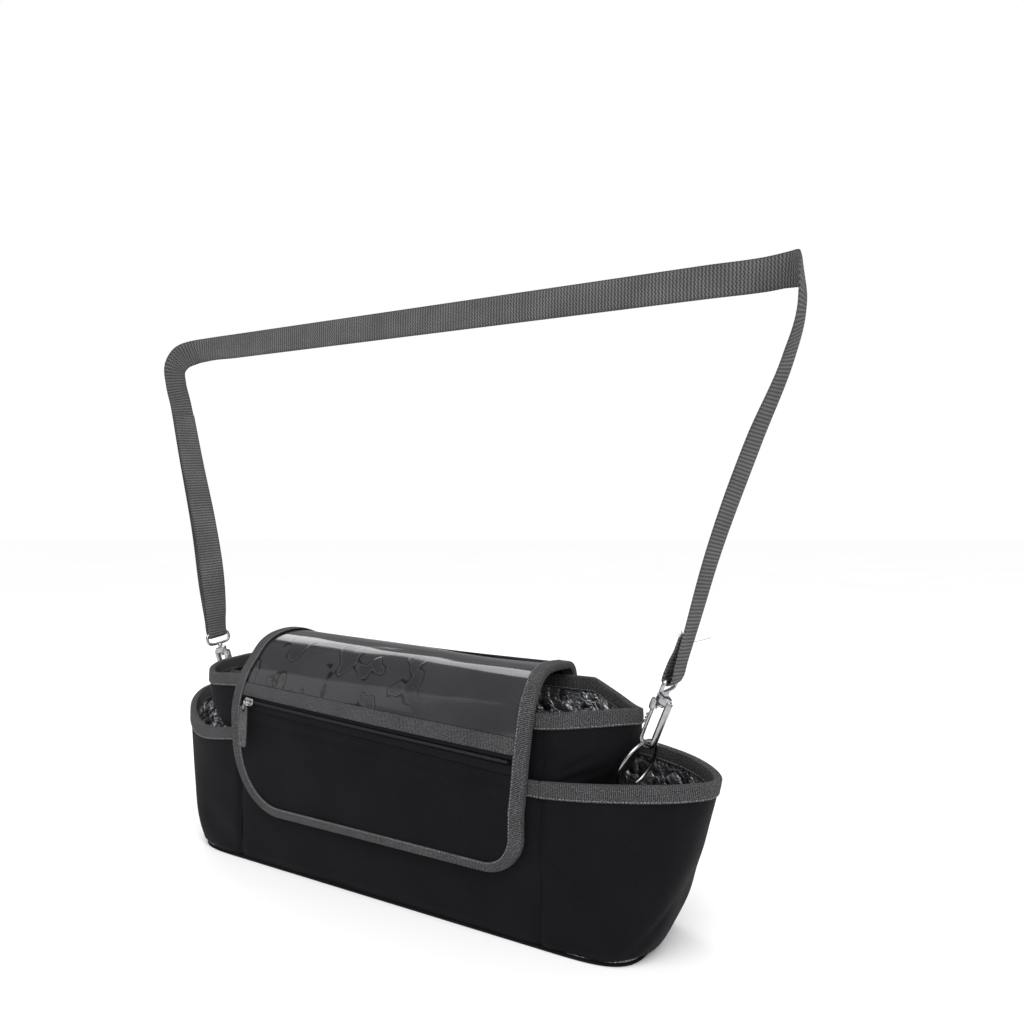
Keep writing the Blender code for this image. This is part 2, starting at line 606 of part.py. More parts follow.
def build_flap(looks):
    """Flap panel, window, band, zip, pocket front and bound edge."""
    flap = Flap()
    under = -(FLAP_OUTER + CLEARANCE)
    flap.strip("flap_panel", 0.0, flap.length, under, FLAP_PANEL, looks["fabric"])

    band = flap.band_top
    window_start = flap.crest - WINDOW_BEHIND_CREST
    flap.strip("flap_back", 0.0, window_start - CLEARANCE, 0.0, FLAP_OUTER, looks["fabric"])
    flap.strip("flap_window", window_start, band - CLEARANCE, -0.3, WINDOW_SHEET, looks["window"])
    flap.strip("window_band", band, band + BAND_WIDTH, 0.0, FLAP_OUTER, looks["binding"])
    upper = band + BAND_WIDTH + CLEARANCE
    flap.strip("zip_tape_upper", upper, upper + UPPER_TAPE_WIDTH, -0.2, 0.8, looks["zip"])
    coil = upper + UPPER_TAPE_WIDTH + CLEARANCE + COIL_RADIUS
    lower = coil + COIL_RADIUS + CLEARANCE
    flap.strip("zip_tape_lower", lower, lower + LOWER_TAPE_WIDTH, -0.2, 0.8, looks["zip"])
    pocket = lower + LOWER_TAPE_WIDTH + CLEARANCE
    flap.strip("flap_pocket_front", pocket, flap.length, 0.0, FLAP_OUTER, looks["fabric"])

    inset_x = BINDING_WIDTH + 1.0
    coil_left, coil_right = flap.edges(np.array([coil]))
    xs = np.linspace(coil_left[0] + inset_x, coil_right[0] - inset_x, 24)
    path = flap.point(np.full(len(xs), coil), xs, 0.15)
    swept("zip_coil", round_rings(path, (0.0, 0.0, 1.0), COIL_RADIUS - 0.05, 8), looks["coil"])

    bend = flap.length - FLAP_CORNER_LEFT
    turn = np.radians(np.linspace(0.0, 90.0, 11))
    side = flap.rows(6.0, bend)
    left_travel = np.concatenate([side, (bend + FLAP_CORNER_LEFT * np.sin(turn))[1:-1]])
    left_line = np.column_stack([flap.edges(left_travel)[0], left_travel])
    bend_right = flap.length - FLAP_CORNER_RIGHT
    side = np.concatenate([side, [(bend + bend_right) / 2.0, bend_right]])
    right_travel = np.concatenate([side, (bend_right + FLAP_CORNER_RIGHT * np.sin(turn))[1:-1]])
    right_line = np.column_stack([flap.edges(right_travel)[1], right_travel])[::-1]
    end_left, end_right = flap.edges(np.array([flap.length]))
    bottom_x = np.linspace(end_left[0], end_right[0], 7)
    bottom = np.column_stack([bottom_x, np.full(7, flap.length)])
    line = np.concatenate([left_line, bottom, right_line])
    along = unit(np.gradient(line, axis=0))
    inward = np.column_stack([along[:, 1], -along[:, 0]])
    centre = np.array([0.0, flap.length / 2.0])
    if np.sum(inward * (centre - line)) < 0.0:
        inward = -inward
    far = CLEARANCE + TAPE
    low = -FLAP_STACK
    outer_path = ((BINDING_WIDTH, far), (-far, far), (-far, low - far), (BINDING_WIDTH, low - far))
    near = CLEARANCE
    inner_path = ((BINDING_WIDTH, near), (-near, near), (-near, low - near), (BINDING_WIDTH, low - near))
    grids = []
    for path in (outer_path, inner_path):
        columns = []
        for reach, offset in path:
            spot = line + inward * reach
            columns.append(flap.point(spot[:, 1], spot[:, 0], offset))
        grids.append(np.stack(columns, axis=1))
    thick_sheet("flap_binding", grids[0], grids[1], looks["binding"])
    build_slider(flap, coil, xs[0] + SLIDER_START, looks)


def build_slider(flap, coil, x, looks):
    """Zip slider that rides on the coil, its bail and the flat pull that hangs from it."""
    here = flap.point(np.array(coil), np.array(x), 0.15)
    ahead = flap.point(np.array(coil), np.array(x + 20.0), 0.15)
    along = unit(ahead - here)
    out = unit(flap.point(np.array(coil), np.array(x), 5.0) - here)
    down = np.cross(along, out)
    if down[2] > 0.0:
        down = -down
    middle = here + out * (COIL_RADIUS + CLEARANCE + 0.9)
    shell = swept("zip_slider", box_points(middle, (along, down, out), (4.2, 3.4, 0.8)), looks["metal"])
    post = middle + out * 0.8
    angles = np.linspace(0.0, math.pi, 9)
    arch = post + np.outer(np.cos(angles) * ARCH_HALF_SPAN, along) + np.outer(np.sin(angles) * ARCH_RISE, out)
    arch = np.concatenate([[arch[0] - out * 0.8], arch, [arch[-1] - out * 0.8]])
    arch_solid = swept("slider_arch", round_rings(arch, down, ARCH_WIRE, 8), looks["metal"])
    join_solids(shell, [arch_solid])
    place_origin(shell, here)

    bar = post + out * ARCH_RISE
    tilt = unit(out * 0.866 + along * 0.5)
    turn = np.linspace(0.0, 2.0 * math.pi, 20, endpoint=False)
    centre = bar + down * (BAIL_LENGTH - BAIL_HANG)
    path = centre + np.outer(np.cos(turn) * BAIL_LENGTH, down) + np.outer(np.sin(turn) * BAIL_WIDTH, tilt)
    wire = round_rings(path, np.cross(down, tilt), BAIL_WIRE, 8, True)
    bail = swept("zip_bail", wire, looks["metal"], True)
    place_origin(bail, bar)

    hold = centre + down * (BAIL_LENGTH + 0.3)
    hang = unit(down * 0.35 + np.array([0.0, 0.0, -1.0]))
    face = unit(np.cross(along, hang))
    plate = box_points(
        hold + hang * (PULL_LENGTH / 2.0 - PULL_EDGE), (hang, along, face),
        (PULL_LENGTH / 2.0, PULL_WIDTH / 2.0, PULL_THICKNESS / 2.0))
    pull = swept("zip_pull", plate, looks["pull"])
    hole = cylinder("hole", hold - face * 2.0, hold + face * 2.0, along, PULL_HOLE, looks["pull"])
    cut_solid(pull, hole)
    place_origin(pull, hold)


def ribbon(name, keys, across, widths, thickness, look, step=18.0):
    """Flat tape along a smooth line through the keys, turned by its across directions."""
    keys = np.asarray(keys, dtype=float)
    across = np.asarray(across, dtype=float)
    travel = np.concatenate([[0.0], np.cumsum(np.linalg.norm(np.diff(keys, axis=0), axis=1))])
    fine = []
    for start, end in zip(travel[:-1], travel[1:]):
        pieces = max(1, int(math.ceil((end - start) / step)))
        fine.extend(np.linspace(start, end, pieces + 1)[:-1])
    fine = np.array(fine + [travel[-1]])
    line = smooth_through(travel, keys, fine)
    side = smooth_through(travel, across, fine)
    width = smooth_through(travel, np.asarray(widths, dtype=float), fine)
    along = unit(np.gradient(line, fine, axis=0))
    side = unit(side - along * np.sum(side * along, axis=1, keepdims=True))
    up = np.cross(along, side)
    corners = ((-1.0, -1.0), (1.0, -1.0), (1.0, 1.0), (-1.0, 1.0))
    rings = [line + side * (width * a / 2.0)[:, None] + up * (thickness * b / 2.0) for a, b in corners]
    return swept(name, np.stack(rings, axis=1), look)


def hook_axes(side):
    """Pull direction, gate direction and ring wire direction of one side."""
    pull = unit(PULL[side])
    wire = np.array(RING_AXIS[side])
    wire = unit(wire - pull * np.dot(wire, pull))
    gate = np.cross(wire, pull)
    if side == "right":
        gate = -gate
    return pull, gate, wire


def cylinder(name, start, end, across, radius, look, sides=14):
    """Round bar between two points."""
    return swept(name, round_rings([start, end], across, radius, sides), look)


def build_ring_and_tab(side, looks):
    """Wire ring and the folded cloth tab that ties it to the end wall."""
    pull, gate, wire = hook_axes(side)
    top = np.array(RING_TOP[side])
    centre = top - pull * RING_RADIUS
    turn = np.linspace(0.0, 2.0 * math.pi, 24, endpoint=False)
    path = centre + RING_RADIUS * (np.outer(np.cos(turn), pull) + np.outer(np.sin(turn), wire))
    swept(f"ring_{side}", round_rings(path, gate, WIRE_RADIUS, 8, True), looks["metal"], True)

    sign = 1.0 if side == "right" else -1.0
    held = top - pull * 2.0 * RING_RADIUS
    out = gate if np.dot(gate, (sign, 0.0, 0.0)) > 0.0 else -gate
    low = BASE_THICKNESS + CLEARANCE
    feet = []
    for below, stand_off in ((26.0, 2.2), (16.0, 3.7)):
        height = held[2] - below
        angle = math.asin(np.clip(held[1] / MAIN_HALF_DEPTH, -0.9, 0.9))
        angles = np.array([angle - 0.05, angle, angle + 0.05])
        rim = smooth_through(RIM_ANGLES, MAIN_RIM[side], np.degrees(angles))
        three = end_line(side, "main", 0.0, low, rim - height, angles)
        tangent = unit(three[2] - three[0])
        normal = unit(np.array([tangent[1], -tangent[0], 0.0]) * sign)
        feet.append((three[1] + normal * stand_off, tangent, normal))
    neck = held - pull * 7.0
    half = (TAB_PLY + CLEARANCE) / 2.0
    middle = [(feet[0][0], feet[0][2]), (feet[1][0], feet[1][2]), (neck, out)]
    sides = [feet[0][1], feet[1][1], wire]
    spin = np.radians(np.linspace(-40.0, 220.0, 10))
    loop = held + TAB_LOOP * (np.outer(np.cos(spin), out) + np.outer(np.sin(spin), pull))
    keys = [spot + normal * half for spot, normal in middle] + list(loop)
    keys += [spot - normal * half for spot, normal in reversed(middle)]
    across = sides + [wire] * len(loop) + sides[::-1]
    widths = [TAB_WIDTH + 4.0, TAB_WIDTH + 3.0, TAB_WIDTH] + [TAB_WIDTH] * len(loop)
    widths += [TAB_WIDTH, TAB_WIDTH + 3.0, TAB_WIDTH + 4.0]
    ribbon(f"ring_tab_{side}", keys, across, widths, TAB_PLY, looks["fabric"], 3.0)


def build_hook(side, looks):
    """Swivel hook body, its sprung gate and the eye that turns in it."""
    pull, gate, wire = hook_axes(side)
    start = np.array(RING_TOP[side])

    def at(p, e, q=0.0):
        return start + gate * p + pull * e + wire * q

    half = HOOK_HALF_WIDTH
    bow = half - HOOK_WIRE - WIRE_RADIUS - CLEARANCE
    turn = np.radians(np.linspace(180.0, 360.0, 11))
    path = [at(-half, BOSS_LOW + 2.5), at(-half, 14.0)]
    path += [at(half * math.cos(t), bow + half * math.sin(t)) for t in turn]
    path += [at(half, NOSE_E)]
    body = swept(f"hook_body_{side}", round_rings(path, wire, HOOK_WIRE, 10), looks["metal"])
    middle = at(0.0, (BOSS_LOW + BOSS_HIGH) / 2.0)
    block = box_points(middle, (pull, gate, wire), ((BOSS_HIGH - BOSS_LOW) / 2.0, BOSS_HALF, 2.7))
    joined = [swept("boss", block, looks["metal"])]
    for q in (-2.05, 2.05):
        cheek = box_points(at(half, 24.2, q), (pull, gate, wire), (4.0, 1.7, 0.5))
        joined.append(swept("cheek", cheek, looks["metal"]))
    pin = (at(half, PIVOT_E, -2.1), at(half, PIVOT_E, 2.1))
    joined.append(cylinder("pin", pin[0], pin[1], pull, PIN_RADIUS, looks["metal"], 10))
    join_solids(body, joined)
    bore = cylinder("bore", at(0.0, BOSS_LOW - 1.0), at(0.0, BOSS_HIGH + 1.0), gate, 1.4, looks["metal"])
    cut_solid(body, bore)
    place_origin(body, start)

    shank = round_rings([at(half, PIVOT_E - 0.6), at(half, GATE_START)], wire, GATE_RADIUS, 12)
    lever = swept(f"hook_gate_{side}", shank, looks["metal"])
    knuckle = cylinder("knuckle", at(half, PIVOT_E, -1.2), at(half, PIVOT_E, 1.2), pull, 1.45, looks["metal"])
    thumb = box_points(at(half + 1.5, 13.0), (pull, gate, wire), (1.6, 0.9, 1.0))
    join_solids(lever, [knuckle, swept("thumb", thumb, looks["metal"])])
    bore = cylinder("bore", at(half, PIVOT_E, -2.0), at(half, PIVOT_E, 2.0), pull, 0.85, looks["metal"])
    cut_solid(lever, bore)
    place_origin(lever, at(half, PIVOT_E))

    eye = np.array(EYE_AXIS[side])
    eye = unit(eye - pull * np.dot(eye, pull))
    turn = np.linspace(0.0, 2.0 * math.pi, 24, endpoint=False)
    wide = EYE_HALF_WIDTH * np.sign(np.cos(turn)) * np.abs(np.cos(turn)) ** 0.6
    tall = EYE_HALF_HEIGHT * np.sign(np.sin(turn)) * np.abs(np.sin(turn)) ** 0.6
    path = at(0.0, EYE_MIDDLE) + np.outer(wide, eye) + np.outer(tall, pull)
    wire_rings = round_rings(path, np.cross(eye, pull), WIRE_RADIUS, 8, True)
    loop = swept(f"hook_eye_{side}", wire_rings, looks["metal"], True)
    low = [BOSS_LOW - below for below in (2.4, 2.1, 0.8, 0.6)]
    eye_foot = EYE_MIDDLE - EYE_HALF_HEIGHT
    heights = (*low, BOSS_HIGH + 0.35, BOSS_HIGH + 0.5, eye_foot - 1.2, eye_foot - 0.5, eye_foot + 0.2)
    radii = (1.5, 1.9, 1.9, STUD_RADIUS, STUD_RADIUS, 1.9, 1.9, 1.4, 0.9)
    stud = swept("stud", round_rings([at(0.0, e) for e in heights], gate, radii, 12), looks["metal"])
    join_solids(loop, [stud])


def tail(out, leg, gaps, distances):
    """Keys of the folded-back ply of a strap loop, beside the main ply leg."""
    travel = np.concatenate([[0.0], np.cumsum(np.linalg.norm(np.diff(leg, axis=0), axis=1))])
    spots = smooth_through(travel, leg, distances)
    return spots - out * np.asarray(gaps)[:, None]


def build_strap(looks):
    """One webbing strap from the right eye, up round the absent handle and down to the left eye."""
    ends = {}
    for side in ("right", "left"):
        pull, gate, wire = hook_axes(side)
        eye = np.array(EYE_AXIS[side])
        eye = unit(eye - pull * np.dot(eye, pull))
        out = np.cross(eye, pull)
        sign = 1.0 if side == "right" else -1.0
        if out[0] * sign < 0.0:
            out = -out
        centre = np.array(RING_TOP[side]) + pull * (EYE_MIDDLE + EYE_HALF_HEIGHT - 0.35)
        spin = np.radians(np.linspace(180.0, 360.0, 9))
        loop = centre + STRAP_LOOP * (np.outer(np.cos(spin), out) + np.outer(np.sin(spin), pull))
        ends[side] = (out, eye, loop)

    keys = []
    across = []
    widths = []

    out, eye, loop = ends["right"]
    leg = np.vstack([loop[-1], np.array(STRAP_RIGHT_KEYS)])
    away = RIGHT_TAIL * np.array([1.0, 0.7, 0.42, 0.2])
    gaps = np.array([1.9, 2.9, 4.8, 5.6])
    back = tail(out, leg, gaps, away)
    keys += list(back) + list(loop)
    across += [eye] * (len(back) + len(loop))
    widths += [STRAP_WIDTH - 1.0, 18.0, 16.0, STRAP_EYE_WIDTH] + [STRAP_EYE_WIDTH] * len(loop)
    rise = smooth_through([0.0, 1.0], np.vstack([loop[-1], leg[1]]), np.array([0.15, 0.5]))
    keys += list(rise)
    across += [eye, eye]
    widths += [STRAP_EYE_WIDTH + 1.0, STRAP_WIDTH - 1.0]
    start = np.array(STRAP_RIGHT_KEYS[-1])
    span = np.array(STRAP_LEFT_KEYS[0]) - start
    bridge = [tuple(start + span * share) for share in STRAP_BRIDGE_SHARES]
    keys += list(STRAP_RIGHT_KEYS) + bridge + list(STRAP_LEFT_KEYS)
    across += list(STRAP_RIGHT_ACROSS) + [(0.0, 0.0, -1.0)] * len(bridge) + list(STRAP_LEFT_ACROSS)
    widths += [STRAP_WIDTH] * (len(STRAP_RIGHT_KEYS) + len(bridge) + len(STRAP_LEFT_KEYS))

    out, eye, loop = ends["left"]
    leg = np.vstack([loop[-1], np.array(STRAP_LEFT_KEYS)[::-1]])
    rise = smooth_through([0.0, 1.0], np.vstack([loop[-1], leg[1]]), np.array([0.5, 0.15]))
    keys += list(rise)
    across += [eye, eye]
    widths += [STRAP_WIDTH - 1.0, STRAP_EYE_WIDTH + 1.0]
    away = np.array([7.0, 18.0, 45.0, 95.0, 150.0, LEFT_TAIL])
    gaps = np.array([6.4, 8.0, 8.2, 5.4, 2.8, 1.9])
    back = tail(out, leg, gaps, away)
    keys += list(loop[::-1]) + list(back)
    across += [eye] * (len(loop) + 3) + [(0.22, 0.96, 0.0), (0.15, 0.97, 0.0), (0.05, 0.98, 0.1)]
    widths += [STRAP_EYE_WIDTH] * (len(loop) + 1) + [16.5, 19.0, 20.0, 20.0, 20.0]
    ribbon("strap", keys, across, widths, STRAP_THICKNESS, looks["webbing"])


def place_origin(item, where):
    """Move an object's origin to a point without moving its mesh."""
    target = np.asarray(where, dtype=float) * MM
    shift = np.array(item.location) - target
    count = len(item.data.vertices)
    flat = np.empty(count * 3)
    item.data.vertices.foreach_get("co", flat)
    flat = flat.reshape(-1, 3) + shift
    item.data.vertices.foreach_set("co", flat.ravel())
    item.data.update()
    item.location = tuple(target)


def main():
    clear_scene()
    looks = {
        "fabric": material("black_fabric", (0.02, 0.02, 0.024), 0.9),
        "lining": material("silver_lining", (0.55, 0.56, 0.58), 0.35, 0.6),
        "binding": material("grey_binding", (0.12, 0.12, 0.125), 0.85),
        "window": material("clear_window", (0.5, 0.52, 0.53), 0.1, 0.0, 0.35),
        "zip": material("zip_tape", (0.03, 0.03, 0.032), 0.7),
        "coil": material("zip_coil_plastic", (0.02, 0.02, 0.02), 0.4),
        "pull": material("pull_tab", (0.28, 0.28, 0.29), 0.6),
        "metal": material("nickel_wire", (0.75, 0.75, 0.76), 0.25, 1.0),
        "webbing": material("grey_webbing", (0.1, 0.1, 0.105), 0.85),
    }
    build_body(looks)
    build_pockets(looks)
    build_flap(looks)
    for side in ("right", "left"):
        build_ring_and_tab(side, looks)
        build_hook(side, looks)
    build_strap(looks)


main()
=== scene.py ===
"""Looks of the stroller organizer: cloth shell, lining, bound rims, zipped flap, hooks and webbing strap.

Lengths in the sections are millimetres in the frame of the CAD, and cloth coordinates are centimetres.
A mesh is scaled to metres when it is made.
"""
import math

import bpy
import numpy as np
from mathutils import Matrix


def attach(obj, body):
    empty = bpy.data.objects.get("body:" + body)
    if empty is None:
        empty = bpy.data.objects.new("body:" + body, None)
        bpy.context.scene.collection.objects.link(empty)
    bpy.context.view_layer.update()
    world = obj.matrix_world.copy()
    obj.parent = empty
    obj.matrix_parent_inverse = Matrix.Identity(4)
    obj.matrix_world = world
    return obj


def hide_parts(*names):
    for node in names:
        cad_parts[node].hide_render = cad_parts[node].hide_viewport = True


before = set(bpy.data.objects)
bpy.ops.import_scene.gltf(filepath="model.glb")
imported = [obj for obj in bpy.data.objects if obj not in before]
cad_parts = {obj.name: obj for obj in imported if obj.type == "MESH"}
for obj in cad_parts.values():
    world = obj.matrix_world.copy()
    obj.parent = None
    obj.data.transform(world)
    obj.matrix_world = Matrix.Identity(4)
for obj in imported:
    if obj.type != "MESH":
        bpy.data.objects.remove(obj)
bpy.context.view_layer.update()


# Camera, floor and light
# The photograph looks down a little on the front right corner from about half a metre.
# Its lens is level, with the horizon just under the middle of the picture.
lens = bpy.data.cameras.new("camera")
lens.sensor_width = 36.0
lens.lens = 28.125
lens.shift_y = 0.0215
lens.clip_start = 0.01
lens.clip_end = 50.0
camera = bpy.data.objects.new("camera", lens)
camera.location = (0.3636, -0.4589, 0.2491)
camera.rotation_euler = (math.pi / 2.0, 0.0, math.radians(31.1))
bpy.context.scene.collection.objects.link(camera)
bpy.context.scene.camera = camera
bpy.context.scene.view_settings.view_transform = "Standard"


def lamp(name, spot, target, size, watts, side):
    """Soft oblong lamp at a spot, turned to a target, with its first side along a direction."""
    light = bpy.data.lights.new(name, "AREA")
    light.shape = "RECTANGLE"
    light.size, light.size_y = size
    light.energy = watts
    away = np.array(spot) - np.array(target)
    away = away / np.linalg.norm(away)
    side = np.array(side) - away * np.dot(side, away)
    side = side / np.linalg.norm(side)
    place = np.eye(4)
    place[:3, 0] = side
    place[:3, 1] = np.cross(away, side)
    place[:3, 2] = away
    place[:3, 3] = spot
    made = bpy.data.objects.new(name, light)
    made.matrix_world = Matrix(place.tolist())
    bpy.context.scene.collection.objects.link(made)


lamp("strip_back", (-0.95, 0.62, 1.25), (0.0, 0.0, 0.15), (1.3, 0.6), 8.0, (-0.41, -0.15, -0.27))
lamp("soft_right", (1.3, -0.7, 0.9), (0.1, 0.0, 0.1), (0.5, 0.9), 6.0, (0.5, 0.8, 0.0))
lamp("soft_left", (-1.3, -1.1, 0.7), (-0.1, 0.0, 0.1), (0.9, 0.9), 1.6, (0.8, -0.6, 0.0))

glow = bpy.data.lights.new("even_light", "SUN")
glow.energy = 2.4
glow.angle = math.radians(55.0)
sky = bpy.data.objects.new("even_light", glow)
sky.rotation_euler = (math.radians(33.0), 0.0, math.radians(25.0))
bpy.context.scene.collection.objects.link(sky)

# The world shines evenly, is darker in mirrors, and looks white behind the object.
AMBIENT = (0.5, 0.5, 0.505, 1.0)
MIRRORED = (0.3, 0.3, 0.31, 1.0)
BACKGROUND = (1.0, 1.0, 1.0, 1.0)
world = bpy.data.worlds.new("studio")
bpy.context.scene.world = world
world.use_nodes = True
backdrop = world.node_tree.nodes["Background"]
rays = world.node_tree.nodes.new("ShaderNodeLightPath")
mirrored = world.node_tree.nodes.new("ShaderNodeMix")
mirrored.data_type = "RGBA"
mirrored.inputs["A"].default_value = AMBIENT
mirrored.inputs["B"].default_value = MIRRORED
seen = world.node_tree.nodes.new("ShaderNodeMix")
seen.data_type = "RGBA"
seen.inputs["B"].default_value = BACKGROUND
world.node_tree.links.new(rays.outputs["Is Glossy Ray"], mirrored.inputs["Factor"])
world.node_tree.links.new(mirrored.outputs["Result"], seen.inputs["A"])
world.node_tree.links.new(rays.outputs["Is Camera Ray"], seen.inputs["Factor"])
world.node_tree.links.new(seen.outputs["Result"], backdrop.inputs["Color"])
backdrop.inputs["Strength"].default_value = 1.0


class Wire:
    """A number that runs through a material's nodes, and that takes part in Python expressions."""

    def __init__(self, paint, socket):
        self.paint = paint
        self.socket = socket

    def math(self, operation, *others):
        """One Math node with this number first."""
        inputs = {place: value for place, value in enumerate((self, *others))}
        return self.paint.node("ShaderNodeMath", {"operation": operation}, inputs)

    def __add__(self, other):
        return self.math("ADD", other)

    def __radd__(self, other):
        return self.math("ADD", other)

    def __sub__(self, other):
        return self.math("SUBTRACT", other)

    def __rsub__(self, other):
        return (self * -1.0).math("ADD", other)

    def __mul__(self, other):
        return self.math("MULTIPLY", other)

    def __rmul__(self, other):
        return self.math("MULTIPLY", other)

    def sine(self):
        """Sine of the number, in radians."""
        return self.math("SINE")

    def absolute(self):
        """The number without its sign."""
        return self.math("ABSOLUTE")

    def least(self, other):
        """The smaller of two numbers."""
        return self.math("MINIMUM", other)

    def most(self, other):
        """The larger of two numbers."""
        return self.math("MAXIMUM", other)

    def step(self, low, high):
        """Smooth rise from 0 at low to 1 at high."""
        settings = {"interpolation_type": "SMOOTHSTEP"}
        inputs = {"Value": self, "From Min": low, "From Max": high}
        return self.paint.node("ShaderNodeMapRange", settings, inputs)


class Paint:
    """One Principled material, made with short calls."""

    def __init__(self, name, slot="", **constants):
        self.slot = slot
        self.material = bpy.data.materials.new(name)
        self.material.use_nodes = True
        self.tree = self.material.node_tree
        self.shader = self.tree.nodes["Principled BSDF"]
        for socket, value in constants.items():
            self.shader.inputs[socket.replace("_", " ")].default_value = value

    def feed(self, socket, value):
        """Give a socket a number, a colour, or another node's output."""
        if isinstance(value, Wire):
            self.tree.links.new(value.socket, socket)
        else:
            socket.default_value = value

    def node(self, kind, settings=None, inputs=None, output=0):
        """Add a node with its settings and inputs, and return one of its outputs."""
        made = self.tree.nodes.new(kind)
        for setting, value in (settings or {}).items():
            setattr(made, setting, value)
        for place, value in (inputs or {}).items():
            self.feed(made.inputs[place], value)
        return Wire(self, made.outputs[output])

    def across(self):
        """The cloth's own two coordinates, in centimetres along and up it."""
        point = self.node("ShaderNodeUVMap", {"uv_map": "cloth"})
        split = self.tree.nodes.new("ShaderNodeSeparateXYZ")
        self.tree.links.new(point.socket, split.inputs[0])
        return point, Wire(self, split.outputs[0]), Wire(self, split.outputs[1])

    def place(self):
        """The point on the object, in metres."""
        return self.node("ShaderNodeTexCoord", output="Object")

    def stretched(self, point, scale):
        """A point scaled by three numbers."""
        return self.node("ShaderNodeVectorMath", {"operation": "MULTIPLY"}, {0: point, 1: scale})

    def noise(self, point, scale, detail=2.0, rough=0.5):
        """Smooth noise from 0 to 1 at a point."""
        settings = {"noise_dimensions": "3D"}
        inputs = {"Vector": point, "Scale": scale, "Detail": detail, "Roughness": rough}
        return self.node("ShaderNodeTexNoise", settings, inputs)

    def mix(self, share, first, second):
        """Blend of two colours."""
        made = self.tree.nodes.new("ShaderNodeMix")
        made.data_type = "RGBA"
        self.feed(made.inputs["Factor"], share)
        self.feed(made.inputs["A"], first)
        self.feed(made.inputs["B"], second)
        return Wire(self, made.outputs["Result"])

    def bump(self, height, distance):
        """Turn a height into a normal and give it to the shader. The distance is in metres."""
        inputs = {"Height": height, "Distance": distance, "Strength": 1.0}
        self.set(Normal=self.node("ShaderNodeBump", None, inputs))

    def set(self, **values):
        """Give the shader's sockets what varies over the surface."""
        for socket, value in values.items():
            self.feed(self.shader.inputs[socket.replace("_", " ")], value)


def placed(name, mesh, paint):
    """Object in the scene with a finished mesh and its material."""
    mesh.materials.append(paint.material)
    made = bpy.data.objects.new(name, mesh)
    bpy.context.scene.collection.objects.link(made)
    return made


FLOOR_REACH = 30.0
floor_paint = Paint("pale_floor", Roughness=0.9)
floor_tone = floor_paint.noise(floor_paint.place(), 1.5)
floor_paint.set(Base_Color=floor_paint.mix(floor_tone, (0.89, 0.89, 0.89, 1.0), (0.93, 0.93, 0.93, 1.0)))
floor_mesh = bpy.data.meshes.new("floor")
corners = [(x * FLOOR_REACH, y * FLOOR_REACH, 0.0) for x, y in ((-1, -1), (1, -1), (1, 1), (-1, 1))]
floor_mesh.from_pydata(corners, [], [(0, 1, 2, 3)])
floor = placed("floor", floor_mesh, floor_paint)


# Cloth shell
# Two layers of black woven polyester: an upright middle and, outside it, a lower pocket layer.
# They are sewn together at four upright seams and to a flat base, and both layers flare at the ends.
SIGN = {"right": 1.0, "left": -1.0}
SEAM_X = 131.0
SEAM_CLEAR = 0.15
MAIN_DEPTH = 36.5
OUTER_DEPTH = 41.0
FRONT_RIM = 140.0
BACK_RIM = 151.0
POCKET_RIM = 100.0
FOOT = 2.3
CLOTH = 1.6
POCKET_CLOTH = 1.4
LINING = 0.8
GAP = 0.3
RIM_ANGLES = (-90.0, -55.0, -25.0, 5.0, 50.0, 70.0, 90.0)
RIMS = {
    ("main", "right"): (140.0, 143.0, 143.5, 141.0, 139.0, 144.0, 151.0),
    ("main", "left"): (140.0, 137.5, 140.5, 144.5, 146.0, 148.0, 151.0),
    ("pocket", "right"): (100.0, 104.5, 106.0, 105.5, 111.0, 113.0, 112.0),
    ("pocket", "left"): (100.0, 94.5, 104.5, 115.0, 117.5, 115.0, 112.0),
}
BULGES = {
    ("main", "right"): 46.0,
    ("main", "left"): 60.0,
    ("pocket", "right"): 96.0,
    ("pocket", "left"): 98.5,
}
SQUARENESS = {"right": 2.0, "left": 3.5}
BASE_REACH = 58.0
BASE_SQUARENESS = 4.0
MAIN_BASE_BULGE = 14.0
FLARE_FROM = 0.45
FLARE_SPAN = 0.42
FRONT_SAG = 5.0
FRONT_DIP = 6.0
ANGLES = np.radians(np.linspace(-90.0, 90.0, 361))


def unit(vector):
    """Scale a vector, or each row of an array, to length one."""
    vector = np.asarray(vector, dtype=float)
    return vector / np.maximum(np.linalg.norm(vector, axis=-1, keepdims=True), 1e-12)


def smooth_through(keys, values, where):
    """Cubic curve through the keys, with slopes taken from the neighbouring keys."""
    keys = np.asarray(keys, dtype=float)
    values = np.asarray(values, dtype=float)
    where = np.clip(np.asarray(where, dtype=float), keys[0], keys[-1])
    slopes = np.gradient(values, keys, axis=0)
    place = np.clip(np.searchsorted(keys, where, side="right") - 1, 0, len(keys) - 2)
    width = keys[place + 1] - keys[place]
    t = (where - keys[place]) / width
    shape = (-1,) + (1,) * (values.ndim - 1)
    t = t.reshape(shape)
    width = width.reshape(shape)
    start = (2 * t ** 3 - 3 * t ** 2 + 1) * values[place] + (t ** 3 - 2 * t ** 2 + t) * width * slopes[place]
    end = (3 * t ** 2 - 2 * t ** 3) * values[place + 1] + (t ** 3 - t ** 2) * width * slopes[place + 1]
    return start + end


def travelled(line):
    """Distance gone at each point of a line of points."""
    return np.concatenate([[0.0], np.cumsum(np.linalg.norm(np.diff(line, axis=0), axis=1))])


def evenly(line, count, closed=False):
    """Points spaced evenly along a line of points."""
    if closed:
        line = np.vstack([line, line[:1]])
    travel = travelled(line)
    where = np.linspace(0.0, travel[-1], count, endpoint=not closed)
    return np.column_stack([np.interp(where, travel, line[:, k]) for k in range(line.shape[1])])


